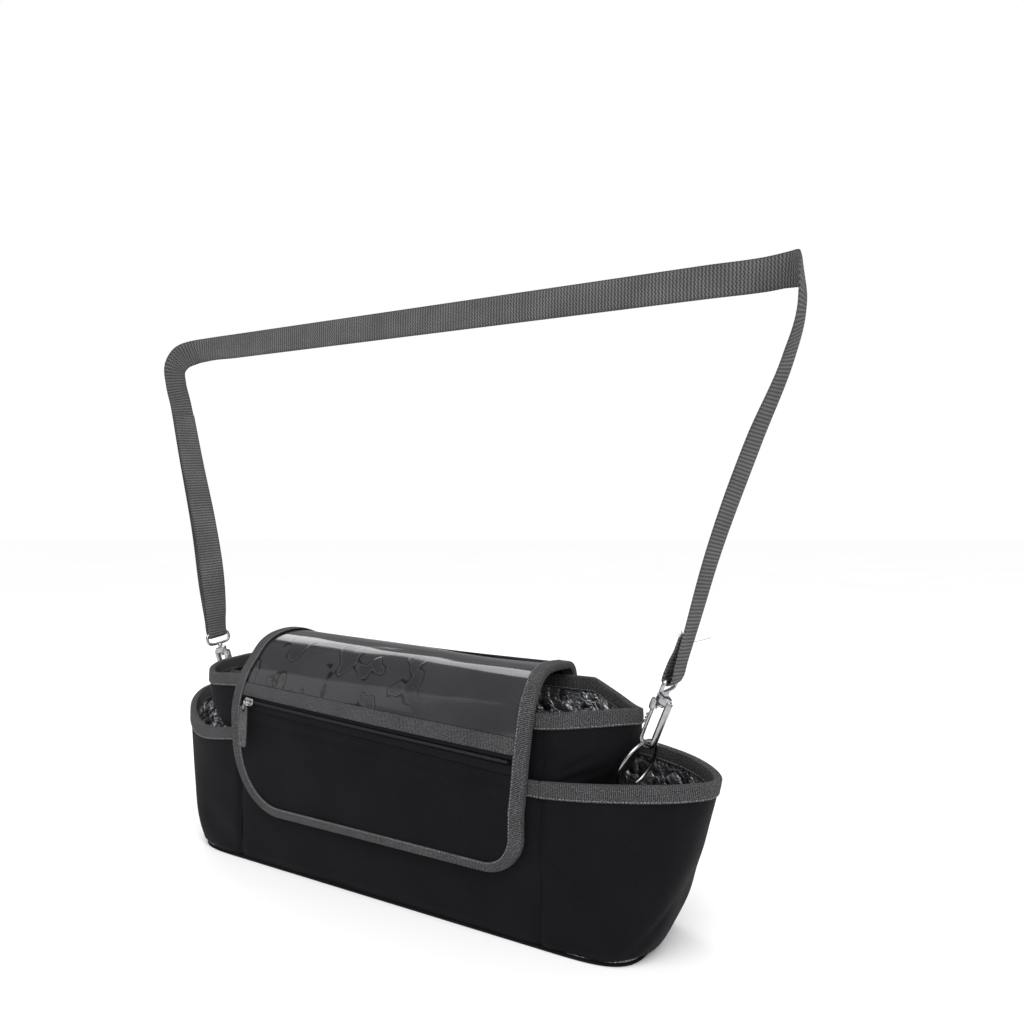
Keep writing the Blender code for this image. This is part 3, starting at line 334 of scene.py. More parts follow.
def end_line(side, kind, distance, below):
    """Line round one end wall at a depth below its rim, inset from its outer face.

    The plan is half of a superellipse past the seam. The main end is slim below and flares under its rim.
    A pocket end is boxy at its foot, rounder above, and flares all the way up.
    """
    rim = smooth_through(RIM_ANGLES, RIMS[kind, side], np.degrees(ANGLES))
    height = rim - below
    share = np.clip((height - FOOT) / (rim - FOOT), 0.0, 1.0)
    if kind == "main":
        rise = np.clip((share - FLARE_FROM) / FLARE_SPAN, 0.0, 1.0)
        rise = rise * rise * (3.0 - 2.0 * rise)
        bulge = MAIN_BASE_BULGE + (BULGES[kind, side] - MAIN_BASE_BULGE) * rise
        power = 2.0 / (2.0 + (SQUARENESS[side] - 2.0) * rise)
        depth = MAIN_DEPTH
    else:
        bulge = BASE_REACH + (BULGES[kind, side] - BASE_REACH) * share ** 0.7
        power = 2.0 / (BASE_SQUARENESS - 2.0 * share ** 0.8)
        depth = OUTER_DEPTH
    sign = SIGN[side]
    plan_x = sign * (SEAM_X + bulge * np.abs(np.cos(ANGLES)) ** power)
    plan_y = depth * np.sign(np.sin(ANGLES)) * np.abs(np.sin(ANGLES)) ** power
    along = unit(np.column_stack([np.gradient(plan_x), np.gradient(plan_y)]))
    normal_x = along[:, 1] * sign
    normal_y = -along[:, 0] * sign
    normal_x[[0, -1]] = 0.0
    normal_y[[0, -1]] = (-1.0, 1.0)
    return np.column_stack([plan_x - normal_x * distance, plan_y - normal_y * distance, height])


def front_line(x):
    """Plan depth of the main front panel, which sags back between its seams."""
    return -MAIN_DEPTH + FRONT_SAG * (1.0 - (x / SEAM_X) ** 2) ** 2


def front_rim(x):
    """Height of the main front rim, a little lower under the flap."""
    return FRONT_RIM - FRONT_DIP * (1.0 - (x / SEAM_X) ** 2)


def main_line(distance, below=None, share=None):
    """Closed line round the main body, at a depth below its rim or at a share of the wall's height."""
    def drop(rim):
        return np.full(len(rim), float(below)) if share is None else (rim - FOOT) * (1.0 - share)

    xs = np.linspace(-SEAM_X, SEAM_X, 60)[1:-1]
    rim = front_rim(xs)
    front = np.column_stack([xs, front_line(xs) + distance, rim - drop(rim)])
    ends = {}
    for side in ("right", "left"):
        rim = smooth_through(RIM_ANGLES, RIMS["main", side], np.degrees(ANGLES))
        ends[side] = end_line(side, "main", distance, drop(rim))
    rim = np.full(len(xs), BACK_RIM)
    back = np.column_stack([xs[::-1], np.full(len(xs), MAIN_DEPTH - distance), rim - drop(rim)])
    return np.concatenate([front, ends["right"], back, ends["left"][::-1]])


RIPPLE_WAVES = 7


def ripple(u, v, length, seed, stretch=1.0):
    """Smooth seeded noise about zero: a sum of cosine waves of about one length in random directions."""
    random = np.random.default_rng(seed)
    total = np.zeros(np.broadcast(u, v).shape)
    for _ in range(RIPPLE_WAVES):
        angle = random.uniform(0.0, 2.0 * math.pi)
        size = 2.0 * math.pi / (length * random.uniform(0.7, 1.5))
        phase = random.uniform(0.0, 2.0 * math.pi)
        total = total + np.cos(size * (math.cos(angle) * u + math.sin(angle) * v * stretch) + phase)
    return total / math.sqrt(RIPPLE_WAVES)


def crease(u, v, start, end, width):
    """One soft fold from start to end: 1 on its line, fading across it and towards its tips."""
    start = np.array(start, dtype=float)
    run = np.array(end, dtype=float) - start
    size = np.linalg.norm(run)
    along = ((u - start[0]) * run[0] + (v - start[1]) * run[1]) / size ** 2
    off = ((u - start[0]) * run[1] - (v - start[1]) * run[0]) / size
    fade = np.exp(-((along - 0.5) / 0.42) ** 4)
    return np.exp(-(off / width) ** 2) * fade


def grid_normals(grid, facing):
    """Unit normals of a grid of points, all turned to the side that the given vectors show."""
    first = np.gradient(grid, axis=0)
    second = np.gradient(grid, axis=1)
    normal = unit(np.cross(first, second))
    flip = np.where(np.sum(normal * facing, axis=-1, keepdims=True) < 0.0, -1.0, 1.0)
    return normal * flip


def grid_lengths(grid):
    """Distances in centimetres along and across a grid's middle lines, as its two cloth coordinates."""
    u = travelled(grid[:, grid.shape[1] // 2]) / 10.0
    v = travelled(grid[grid.shape[0] // 2]) / 10.0
    return np.stack(np.meshgrid(u, v, indexing="ij"), axis=-1)


def rings_mesh(name, rings, paint, uv=None, closed=False, sharp=50.0):
    """Skin a row of closed rings into a solid. An open row ends in flat caps made of strips."""
    rings = np.asarray(rings, dtype=float)
    count, sides = rings.shape[:2]
    index = np.arange(count * sides).reshape(count, sides)
    here = index if closed else index[:-1]
    there = np.roll(index, -1, axis=0) if closed else index[1:]
    quads = np.stack([here, np.roll(here, -1, axis=1), np.roll(there, -1, axis=1), there], axis=-1)
    quads = quads.reshape(-1, 4)
    if not closed:
        half = sides // 2
        low = np.arange(half - 1)
        for ring, turn in ((index[0], 1), (index[-1], -1)):
            cap = np.stack([ring[low], ring[sides - 1 - low], ring[sides - 2 - low], ring[low + 1]], axis=-1)
            quads = np.concatenate([quads, cap[:, ::turn]])
    points = rings.reshape(-1, 3)
    a, b, c, d = (points[quads[:, k]] for k in range(4))
    volume = np.sum(a * np.cross(b, c)) + np.sum(a * np.cross(c, d))
    if volume < 0.0:
        quads = quads[:, ::-1]
    mesh = bpy.data.meshes.new(name)
    mesh.vertices.add(len(points))
    mesh.vertices.foreach_set("co", (points * 0.001).astype(np.float32).ravel())
    mesh.loops.add(quads.size)
    mesh.loops.foreach_set("vertex_index", quads.astype(np.int32).ravel())
    mesh.polygons.add(len(quads))
    mesh.polygons.foreach_set("loop_start", np.arange(0, quads.size, 4, dtype=np.int32))
    mesh.polygons.foreach_set("use_smooth", np.ones(len(quads), dtype=bool))
    mesh.update(calc_edges=True)
    if uv is not None:
        layer = mesh.uv_layers.new(name="cloth")
        layer.data.foreach_set("uv", uv.reshape(-1, 2)[quads.ravel()].astype(np.float32).ravel())
    mesh.set_sharp_from_angle(angle=math.radians(sharp))
    made = placed(name, mesh, paint)
    return made


EDGE_ROUND = 0.3


def cloth_mesh(name, outer, facing, thickness, paint, push, closed=False):
    """A sheet of cloth with rounded edges.

    Its outer face is a grid pushed along its normals, and its inner face is the same grid a thickness behind.
    """
    outer = outer + grid_normals(outer, facing) * push[..., None]
    inner = outer - grid_normals(outer, facing) * thickness
    middle = (outer + inner) / 2.0
    tip = unit(middle[:, -1] - middle[:, -2]) * thickness * EDGE_ROUND
    foot = unit(middle[:, 0] - middle[:, 1]) * thickness * EDGE_ROUND
    rings = np.concatenate([
        outer, (middle[:, -1] + tip)[:, None], inner[:, ::-1], (middle[:, 0] + foot)[:, None]], axis=1)
    uv = grid_lengths(outer)
    uv = np.concatenate([uv, uv[:, -1:], uv[:, ::-1], uv[:, :1]], axis=1)
    return rings_mesh(name, rings, paint, uv, closed)


WEAVE_ROUGHNESS = 0.8
WEAVE_DEPTH = 0.00016


def woven(name, slot, dark, light, pitch):
    """Plain woven cloth: crossing threads as a bump, lighter thread crowns and slow cloudy wear."""
    paint = Paint(name, slot, Sheen_Weight=0.02, Sheen_Roughness=0.4, Specular_IOR_Level=0.08)
    point, u, v = paint.across()
    turn = 2.0 * math.pi / pitch
    wobble = paint.noise(point, 3.0) * 0.6
    crown = (u * turn + wobble).sine() * (v * turn + wobble).sine() * 0.5 + 0.5
    fleck = paint.noise(point, 1.6 / pitch, 4.0, 0.75)
    cloud = paint.noise(point, 0.35, 3.0)
    tone = (crown * 0.45 + fleck.step(0.45, 0.75) * 0.55) * (cloud * 0.9 + 0.35)
    paint.set(Base_Color=paint.mix(tone, dark, light), Roughness=WEAVE_ROUGHNESS - crown * 0.12)
    paint.bump(crown + fleck * 0.8, WEAVE_DEPTH)
    return paint


black_cloth = woven(
    "black_woven_cloth", "black_fabric", (0.001, 0.001, 0.0015, 1.0), (0.017, 0.017, 0.021, 1.0), 0.1)


def wall_grid(side, kind, columns, shares, distance=0.0, drop=0.0):
    """Grid of one end wall: even columns from front seam to back seam, and rows at shares of its height."""
    rim = smooth_through(RIM_ANGLES, RIMS[kind, side], np.degrees(ANGLES))
    rows = []
    for share in shares:
        line = end_line(side, kind, distance, drop + (rim - drop - FOOT) * (1.0 - share))
        rows.append(evenly(line, columns))
    grid = np.stack(rows, axis=1)
    grid[..., 0] += SIGN[side] * SEAM_CLEAR
    return grid


def outwards(grid, side):
    """Vectors that point out of an end, for turning its normals."""
    facing = grid - np.array([SIGN[side] * (SEAM_X - 20.0), 0.0, 0.0])
    facing[..., 2] = 0.0
    return facing


def seam_tuck(away, depth=0.8, width=3.0):
    """Cloth pulled in beside a seam, by its distance from the seam."""
    return -depth * np.exp(-(away / width) ** 2)


flat_columns = np.linspace(-SEAM_X + SEAM_CLEAR, SEAM_X - SEAM_CLEAR, 115)
shares = np.linspace(0.0, 1.0, 61)
X, S = np.meshgrid(flat_columns, shares, indexing="ij")

front_grid = np.stack([X, front_line(X), FOOT + (front_rim(X) - FOOT) * S], axis=-1)
push = ripple(X, S * 140.0, 60.0, 11) * 0.35
front_panel = cloth_mesh("main_front", front_grid, np.array([0.0, -1.0, 0.0]), CLOTH, black_cloth, push)
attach(front_panel, "bag")
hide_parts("front_panel")

back_grid = np.stack([X, np.full_like(X, MAIN_DEPTH), FOOT + (BACK_RIM - FOOT) * S], axis=-1)
push = ripple(X, S * 150.0, 75.0, 12) * 0.6 + seam_tuck(SEAM_X - np.abs(X), 0.5)
push = push - 1.0 * np.exp(-(S / 0.02) ** 2)
back_panel = cloth_mesh("main_back", back_grid, np.array([0.0, 1.0, 0.0]), CLOTH, black_cloth, push)
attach(back_panel, "bag")
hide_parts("back_panel")

PUSH_LIMIT = 0.15
MAIN_SEEDS = {"right": 13, "left": 14}
MAIN_CREASES = (
    (-1.1, (2.0, 102.0), (34.0, 116.0), 2.4),
    (-0.9, (3.0, 108.0), (22.0, 124.0), 2.0),
    (0.7, (4.0, 96.0), (40.0, 106.0), 4.0),
)
for side in ("right", "left"):
    grid = wall_grid(side, "main", 121, np.linspace(0.0, 1.0, 81))
    length = grid_lengths(grid) * 10.0
    U, V = length[..., 0], length[..., 1]
    far = U.max() - U
    push = ripple(U, V, 34.0, MAIN_SEEDS[side]) * 0.35 * np.clip(1.0 - (V / V.max()) ** 6, 0.0, 1.0)
    push = push + seam_tuck(U, 0.5) + seam_tuck(far, 0.5)
    for height, start, end, width in MAIN_CREASES:
        push = push + height * crease(U, V, start, end, width)
    push = np.minimum(push, PUSH_LIMIT)
    wall = cloth_mesh(f"main_end_{side}", grid, outwards(grid, side), CLOTH, black_cloth, push)
    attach(wall, "bag")
    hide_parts(f"end_wall_{side}")

pocket_shares = np.linspace(0.0, 1.0, 51)
X, S = np.meshgrid(flat_columns, pocket_shares, indexing="ij")
grid = np.stack([X, np.full_like(X, -OUTER_DEPTH), FOOT + (POCKET_RIM - FOOT) * S], axis=-1)
belly = (1.0 - (X / SEAM_X) ** 2) * np.sin(math.pi * np.clip(S, 0.0, 1.0)) * 0.8
push = belly + ripple(X, S * 98.0, 55.0, 15) * 0.3 + seam_tuck(SEAM_X - np.abs(X), 1.2)
push = push - 1.6 * np.exp(-(S / 0.03) ** 2)
front_pocket = cloth_mesh(
    "front_pocket_cloth", grid, np.array([0.0, -1.0, 0.0]), POCKET_CLOTH, black_cloth, push)
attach(front_pocket, "bag")
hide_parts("front_pocket")

POCKET_SEEDS = {"right": 16, "left": 17}
for side in ("right", "left"):
    grid = wall_grid(side, "pocket", 161, np.linspace(0.0, 1.0, 71))
    length = grid_lengths(grid) * 10.0
    U, V = length[..., 0], length[..., 1]
    far = U.max() - U
    top = np.clip(1.0 - (V / V.max()) ** 8, 0.0, 1.0)
    push = ripple(U, V, 42.0, POCKET_SEEDS[side]) * 0.55 * top
    push = push + seam_tuck(U, 1.2) + seam_tuck(far, 3.0, 4.5) * top - 1.8 * np.exp(-(V / 3.0) ** 2)
    push = push - 1.0 * crease(U, V, (60.0, 4.0), (92.0, 40.0), 4.0)
    pocket = cloth_mesh(
        f"end_pocket_cloth_{side}", grid, outwards(grid, side), POCKET_CLOTH, black_cloth, push)
    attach(pocket, "bag")
    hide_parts(f"end_pocket_{side}")


# Base
# One flat piece of the same cloth, sewn to the foot of the outer layer all round.
BASE_PROFILE = ((30.0, 0.0), (3.0, 0.0), (1.2, 0.3), (0.8, 1.0), (1.2, 1.7), (3.0, 2.0), (30.0, 2.0))


def full_turn(count):
    """Even angles once round."""
    return np.linspace(0.0, 2.0 * math.pi, count, endpoint=False)


def superellipse(turn, power):
    """Cosine and sine of the angles, with their sizes raised to a power and their signs kept."""
    across = np.sign(np.cos(turn)) * np.abs(np.cos(turn)) ** power
    along = np.sign(np.sin(turn)) * np.abs(np.sin(turn)) ** power
    return across, along


base_x, base_y = superellipse(full_turn(240), 2.0 / BASE_SQUARENESS)
outline = np.column_stack([np.sign(base_x) * SEAM_X + base_x * BASE_REACH, base_y * OUTER_DEPTH])
outline = evenly(outline, 240, closed=True)
rings = []
for inward, height in BASE_PROFILE:
    scale = 1.0 - inward / np.array([SEAM_X + BASE_REACH, OUTER_DEPTH])
    rings.append(np.column_stack([outline * scale, np.full(len(outline), height)]))
rings = np.array(rings)
base = rings_mesh("base_cloth", rings, black_cloth, rings[..., :2] / 10.0)
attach(base, "bag")
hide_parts("base_panel")


# Linings
# Thin silver foil-faced insulation, sewn in under the rims, crumpled all over like kitchen foil. Its colour
# carries painted reflections and painted highlights: facets and wrinkles painted lighter and darker, and
# bright lines along the creases.
foil = Paint("silver_foil_lining", "silver_lining", Metallic=0.8, Specular_IOR_Level=0.5)
point = foil.across()[0]
sway = foil.node("ShaderNodeTexNoise", None, {"Vector": point, "Scale": 0.9, "Detail": 3.0}, "Color")
swayed = {0: sway, 1: (1.2, 1.2, 1.2), 2: point}
bent = foil.node("ShaderNodeVectorMath", {"operation": "MULTIPLY_ADD"}, swayed)
flat = foil.node("ShaderNodeTexVoronoi", {"feature": "F1"}, {"Vector": bent, "Scale": 1.1}, "Color")
to_edge = {"feature": "DISTANCE_TO_EDGE"}
ridge = foil.node("ShaderNodeTexVoronoi", to_edge, {"Vector": bent, "Scale": 1.1})
small = foil.node("ShaderNodeTexVoronoi", to_edge, {"Vector": bent, "Scale": 2.7})
# Painted highlight: bright glint lines along the crease edges, put into the foil's colour.
line = (1.0 - ridge.step(0.0, 0.07)).most((1.0 - small.step(0.0, 0.06)) * 0.55)
wrinkle = foil.noise(point, 2.2, 5.0, 0.65)
face = foil.node("ShaderNodeSeparateXYZ", None, {0: flat})
# Painted reflection: each facet and wrinkle gets a lighter or darker tone, with the painted crease highlights
# laid over them.
tone = (face.step(0.25, 0.9) * 0.5 + wrinkle.step(0.38, 0.72) * 0.35).most(line * 0.9)
foil.set(
    Base_Color=foil.mix(tone, (0.035, 0.035, 0.04, 1.0), (0.6, 0.61, 0.63, 1.0)),
    Roughness=0.42 - wrinkle * 0.2)
foil.bump(ridge.least(0.3) * 1.6 + small.least(0.2) * 0.6 + wrinkle * 0.6, 0.0022)


def crushed(u, v, seed):
    """Crumpled foil relief: ridged noise at three sizes, so that its folds are sharp."""
    total = 1.1 - np.abs(ripple(u, v, 26.0, seed))
    total = total + 0.6 - np.abs(ripple(u, v, 13.0, seed + 1)) * 0.5
    return total + 0.3 - np.abs(ripple(u, v, 7.0, seed + 2)) * 0.28


FOIL_GAP = 0.3
FOIL = LINING - FOIL_GAP
FLOOR_PROFILE = ((0.0, 2.6), (0.0, 3.0), (6.0, 3.1), (20.0, 3.1), (30.0, 3.1))
FLOOR_HALVES = np.array([140.0, 33.0])
FOIL_SEEDS = {"right": 31, "left": 37}

skin = CLOTH + GAP
lines = [main_line(skin + FOIL_GAP, share=share) for share in np.linspace(0.0, 1.0, 70)]
grid = np.stack([evenly(line, 480, closed=True) for line in lines], axis=1)
length = grid_lengths(grid) * 10.0
U, V = length[..., 0], length[..., 1]
inside = grid - np.array([0.0, 0.0, 70.0])
inside[..., 0] *= 0.2
inside[..., 2] = 0.0
room = np.clip((V.max() - V) / 14.0, 0.0, 1.0) * np.clip(V / 8.0, 0.0, 1.0)
push = -np.clip(crushed(U, V, 21), 0.0, 2.4) * room
lining = cloth_mesh("main_lining_foil", grid, inside, FOIL, foil, push, closed=True)
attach(lining, "bag")
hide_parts("main_lining")

floor_rings = []
edge_line = evenly(main_line(skin + 1.5, share=0.0), 280, closed=True)
for inward, height in FLOOR_PROFILE:
    scale = 1.0 - inward / FLOOR_HALVES
    floor_rings.append(np.column_stack([edge_line[:, :2] * scale, np.full(len(edge_line), height)]))
floor_rings = np.array(floor_rings)
lining_floor = rings_mesh("main_lining_floor", floor_rings, foil, floor_rings[..., :2] / 10.0)
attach(lining_floor, "bag")

for side in ("right", "left"):
    grid = wall_grid(side, "pocket", 232, np.linspace(0.0, 1.0, 65), POCKET_CLOTH + GAP + FOIL_GAP, 1.5)[8:-8]
    length = grid_lengths(grid) * 10.0
    U, V = length[..., 0], length[..., 1]
    room = np.clip((V.max() - V) / 14.0, 0.0, 1.0) * np.clip(V / 6.0, 0.0, 1.0)
    room = room * np.clip(U / 12.0, 0.0, 1.0) * np.clip((U.max() - U) / 12.0, 0.0, 1.0)
    push = -np.clip(crushed(U, V, FOIL_SEEDS[side]), 0.0, 2.6) * room
    foil_side = cloth_mesh(f"pocket_lining_foil_{side}", grid, outwards(grid, side), FOIL, foil, push)
    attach(foil_side, "bag")
    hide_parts(f"pocket_lining_{side}")


# Bound rims
# Grey grosgrain tape, folded over every raw rim and sewn down along both edges with grey thread.
TAPE = 0.7
TAPE_FILL = 0.1
BINDING = 8.8
BINDING_DEPTHS = BINDING * np.array([1.0, 0.9, 0.73, 0.55, 0.36, 0.18, 0.05])
BINDING_PUFF = np.array([0.0, 0.12, 0.2, 0.22, 0.2, 0.1, 0.0])
STITCH_DEPTH = 7.9
STITCH_OUT = 1.12
STITCH_PITCH = 2.1
STITCH_DIP = np.array([-0.3, 0.05, 0.16, 0.16, 0.05, -0.3])
THREAD_RADIUS = 0.24
RIB_PITCH = 0.11
WEFT_PITCH = 0.07

grosgrain = Paint(
    "grey_grosgrain_binding", "grey_binding", Sheen_Weight=0.03, Sheen_Roughness=0.4, Specular_IOR_Level=0.1)
point, u, v = grosgrain.across()
rib = (u * (2.0 * math.pi / RIB_PITCH)).sine() * 0.5 + 0.5
weft = (v * (2.0 * math.pi / WEFT_PITCH)).sine() * 0.5 + 0.5
fleck = grosgrain.noise(point, 13.0, 4.0, 0.75)
cloud = grosgrain.noise(point, 0.5, 2.0)
tone = (rib * 0.4 + weft * 0.1) * (fleck.step(0.34, 0.68) * 1.1 + 0.25) + fleck.step(0.45, 0.7) * 0.32
tone = tone * (cloud * 0.7 + 0.6)
grosgrain.set(
    Base_Color=grosgrain.mix(tone, (0.005, 0.005, 0.006, 1.0), (0.25, 0.244, 0.252, 1.0)),
    Roughness=0.86 - rib * 0.1)
grosgrain.bump(rib + weft * 0.35 + fleck * 1.2, 0.0004)

thread = Paint("grey_sewing_thread", Sheen_Weight=0.05, Specular_IOR_Level=0.15)
twist = thread.noise(thread.place(), 900.0).step(0.3, 0.7)
thread.set(
    Base_Color=thread.mix(twist, (0.09, 0.09, 0.092, 1.0), (0.3, 0.3, 0.305, 1.0)),
    Roughness=0.75 - twist * 0.1)


def two_faced(name, outer, inner, uv, paint, closed=False):
    """Solid between two like grids, with the same cloth coordinates on both faces."""
    rings = np.concatenate([outer, inner[:, ::-1]], axis=1)
    uv = np.concatenate([uv, uv[:, ::-1]], axis=1)
    return rings_mesh(name, rings, paint, uv, closed)


def tape_mesh(name, line_at, stack, count, paint, closed=False):
    """Tape folded over a rim, from one edge up, over and down to the other.

    line_at gives the line at an inset from the cloth's outer face and a depth below its rim.
    Each leg swells a little between its stitches and the rim.
    """
    far = stack + GAP
    grids = []
    for thick, puff in ((TAPE, BINDING_PUFF), (TAPE_FILL, BINDING_PUFF * 0.0)):
        steps = [(-GAP - thick - swell, depth) for depth, swell in zip(BINDING_DEPTHS, puff)]
        radius = (far + GAP) / 2.0 + thick
        middle = (far - GAP) / 2.0
        for angle in np.radians(np.linspace(170.0, 10.0, 9)):
            lift = (GAP + thick) * math.sin(angle)
            steps.append((middle + radius * math.cos(angle), -lift))
        steps += [(far + thick + swell, depth) for depth, swell in zip(BINDING_DEPTHS[::-1], puff[::-1])]
        grids.append(np.stack([evenly(line_at(off, below), count, closed) for off, below in steps], axis=1))
    outer, inner = grids
    return two_faced(name, outer, inner, grid_lengths(outer), paint, closed)


def stitch_row(name, line, facing, paint):
    """Row of sewn stitches along a line: short rounded stretches of thread that dip in at both tips."""
    count = max(2, int(travelled(line)[-1] / STITCH_PITCH))
    first = np.arange(count) * 8
    middle = evenly(line, count * 8 + 1)[first[:, None] + np.arange(1, 7)]
    out = unit(facing[[int(k / count * len(facing)) for k in range(count)]])
    middle = middle + out[:, None] * STITCH_DIP[:, None]
    along = unit(np.gradient(middle, axis=1))
    side = unit(np.cross(along, out[:, None]))
    up = np.cross(side, along)
    turn = full_turn(6)[:, None]
    circle = side[:, :, None] * np.cos(turn) + up[:, :, None] * np.sin(turn)
    solid = middle[:, :, None] + circle * THREAD_RADIUS
    steps, sides = solid.shape[1:3]
    index = np.arange(count * steps * sides).reshape(count, steps, sides)
    a = index[:, :-1]
    b = np.roll(a, -1, axis=2)
    c = np.roll(index[:, 1:], -1, axis=2)
    d = index[:, 1:]
    faces = np.stack([a, b, c, d], axis=-1).reshape(-1, 4)
    caps = np.concatenate([index[:, 0][:, ::-1], index[:, -1]])
    mesh = bpy.data.meshes.new(name)
    mesh.from_pydata((solid.reshape(-1, 3) * 0.001).tolist(), [], faces.tolist() + caps.tolist())
    mesh.polygons.foreach_set("use_smooth", np.ones(len(mesh.polygons), dtype=bool))
    mesh.update()
    return placed(name, mesh, paint)


def facing_out(line):
    """Level vectors that point away from the bag's long middle line."""
    core = np.clip(line[:, 0], -SEAM_X, SEAM_X)
    away = np.column_stack([line[:, 0] - core, line[:, 1], np.zeros(len(line))])
    return unit(away)


stack = CLOTH + GAP + LINING
rim = tape_mesh("main_rim_tape", main_line, stack, 540, grosgrain, closed=True)
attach(rim, "bag")
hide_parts("main_rim_binding")
for name, off, sign in (("outer", -STITCH_OUT, 1.0), ("inner", stack + STITCH_OUT, -1.0)):
    line = evenly(main_line(off, STITCH_DEPTH), 900, closed=True)
    row = stitch_row(f"main_rim_stitches_{name}", line, facing_out(line) * sign, thread)
    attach(row, "bag")

stack = POCKET_CLOTH + LINING + 3.0 * GAP
for side in ("right", "left"):
    shift = np.array([SIGN[side] * SEAM_CLEAR, 0.0, 0.0])

    def pocket_line(off, below, side=side, shift=shift):
        """Line round one end pocket, moved clear of the seam."""
        return end_line(side, "pocket", off, below) + shift

    rim = tape_mesh(f"pocket_rim_tape_{side}", pocket_line, stack, 300, grosgrain)
    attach(rim, "bag")
    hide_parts(f"pocket_binding_{side}")
    for name, off, sign in (("outer", -STITCH_OUT, 1.0), ("inner", stack + STITCH_OUT, -1.0)):
        line = evenly(pocket_line(off, STITCH_DEPTH), 500)
        row = stitch_row(f"pocket_stitches_{side}_{name}", line, facing_out(line) * sign, thread)
        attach(row, "bag")


def front_pocket_line(off, below):
    """Straight line along the front pocket's rim."""
    xs = np.linspace(-SEAM_X + SEAM_CLEAR, SEAM_X - SEAM_CLEAR, 120)
    return np.column_stack([xs, np.full(120, off - OUTER_DEPTH), np.full(120, POCKET_RIM - below)])


rim = tape_mesh("front_pocket_rim_tape", front_pocket_line, POCKET_CLOTH, 240, grosgrain)
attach(rim, "bag")
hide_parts("front_pocket_binding")
line = front_pocket_line(-STITCH_OUT, STITCH_DEPTH)
row = stitch_row("front_pocket_stitches", line, np.tile([[0.0, -1.0, 0.0]], (len(line), 1)), thread)
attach(row, "bag")


# Flap
# A lined cloth flap sewn to the back, with a clear window over its crest and a zipped pocket on its front.
# One binding runs round its two sides and its rounded front edge.
FLAP_RIGHT_Y = (42.6, 42.8, 36.0, 20.0, -6.0, -19.0, -28.0, -36.0, -41.8, -45.0, -46.2, -46.4, -46.4)
FLAP_RIGHT_Z = (138.0, 151.5, 159.5, 162.0, 163.8, 162.5, 159.0, 152.0, 143.3, 130.0, 112.0, 80.0, 42.0)
FLAP_LEFT_Y = (42.6, 42.8, 36.0, 20.0, 4.0, -13.0, -25.0, -34.0, -42.0, -46.5, -48.5, -47.5, -46.4)
FLAP_LEFT_Z = (138.0, 151.0, 160.0, 167.5, 173.5, 172.0, 166.0, 155.0, 143.3, 128.0, 108.0, 78.0, 42.0)
FLAP_OUTER = 1.2
FLAP_PANEL = 1.5
EDGE_SHARES = (0.0, 0.12, 0.30, 0.45, 0.55, 0.68, 0.80)
EDGE_RIGHT = (113.0, 114.0, 121.0, 125.5, 126.0, 123.5, 121.0)
EDGE_LEFT = (-113.0, -114.0, -121.0, -127.0, -129.0, -132.0, -131.0)
CORNER_RIGHT = 27.0
CORNER_LEFT = 48.0
SLANT_SHARES = (0.0, 0.28, 0.46, 0.59, 0.64, 0.69, 0.83, 1.0)
SLANT = (0.0, 0.005, 0.03, 0.055, 0.066, 0.08, 0.04, 0.0)
FLAP_REACH = 126.0
BAND_HEIGHT = 131.0
BAND = 10.0
WINDOW_LAP = 12.0
VINYL = 0.6
ZIP_TAPE = 0.8
ZIP_TAPE_ABOVE = 2.2
ZIP_TAPE_BELOW = 5.0
COIL_HALF = 1.3

keys = np.arange(len(FLAP_RIGHT_Y), dtype=float)
fine = np.linspace(0.0, keys[-1], 600)
section_right = smooth_through(keys, np.column_stack([FLAP_RIGHT_Y, FLAP_RIGHT_Z]), fine)
section_left = smooth_through(keys, np.column_stack([FLAP_LEFT_Y, FLAP_LEFT_Z]), fine)
section_middle = (section_right + section_left) / 2.0
section_travel = travelled(section_middle)
flap_length = float(section_travel[-1])
flap_slant = smooth_through(np.array(SLANT_SHARES) * flap_length, SLANT, section_travel)
behind = 1000.0 * (section_middle[:, 0] > 0.0)
band_top = float(section_travel[np.argmin(np.abs(section_middle[:, 1] - BAND_HEIGHT) + behind)])
crest = float(section_travel[np.argmax(section_middle[:, 1])])


def flap_section(travel, x):
    """Point (Y, Z) of the flap's outer face at a travel from its back seam and at an X."""
    share = ((x + FLAP_REACH) / (2.0 * FLAP_REACH))[..., None]
    right = np.stack([np.interp(travel, section_travel, section_right[:, k]) for k in (0, 1)], axis=-1)
    left = np.stack([np.interp(travel, section_travel, section_left[:, k]) for k in (0, 1)], axis=-1)
    return right * share + left * (1.0 - share)


def flap_point(travel, x, offset):
    """Point in space at a travel, an X and an offset outwards from the flap's outer face."""
    travel, x, offset = np.broadcast_arrays(*[np.asarray(v, dtype=float) for v in (travel, x, offset)])
    travel = travel + np.interp(travel, section_travel, flap_slant) * x
    here = flap_section(travel, x)
    along = unit(flap_section(travel + 1.5, x) - flap_section(travel - 1.5, x))
    out = np.stack([along[..., 1], -along[..., 0]], axis=-1)
    return np.concatenate([x[..., None], here + out * offset[..., None]], axis=-1)


def flap_edges(travel):
    """Left and right edge X at a travel, with the two rounded front corners."""
    places = np.array(EDGE_SHARES) * flap_length
    right = smooth_through(places, EDGE_RIGHT, travel)
    left = smooth_through(places, EDGE_LEFT, travel)
    over = np.clip((travel - (flap_length - CORNER_RIGHT)) / CORNER_RIGHT, 0.0, 1.0)
    right = right - CORNER_RIGHT * (1.0 - np.sqrt(1.0 - over * over))
    over = np.clip((travel - (flap_length - CORNER_LEFT)) / CORNER_LEFT, 0.0, 1.0)
    left = left + CORNER_LEFT * (1.0 - np.sqrt(1.0 - over * over))
    return left, right


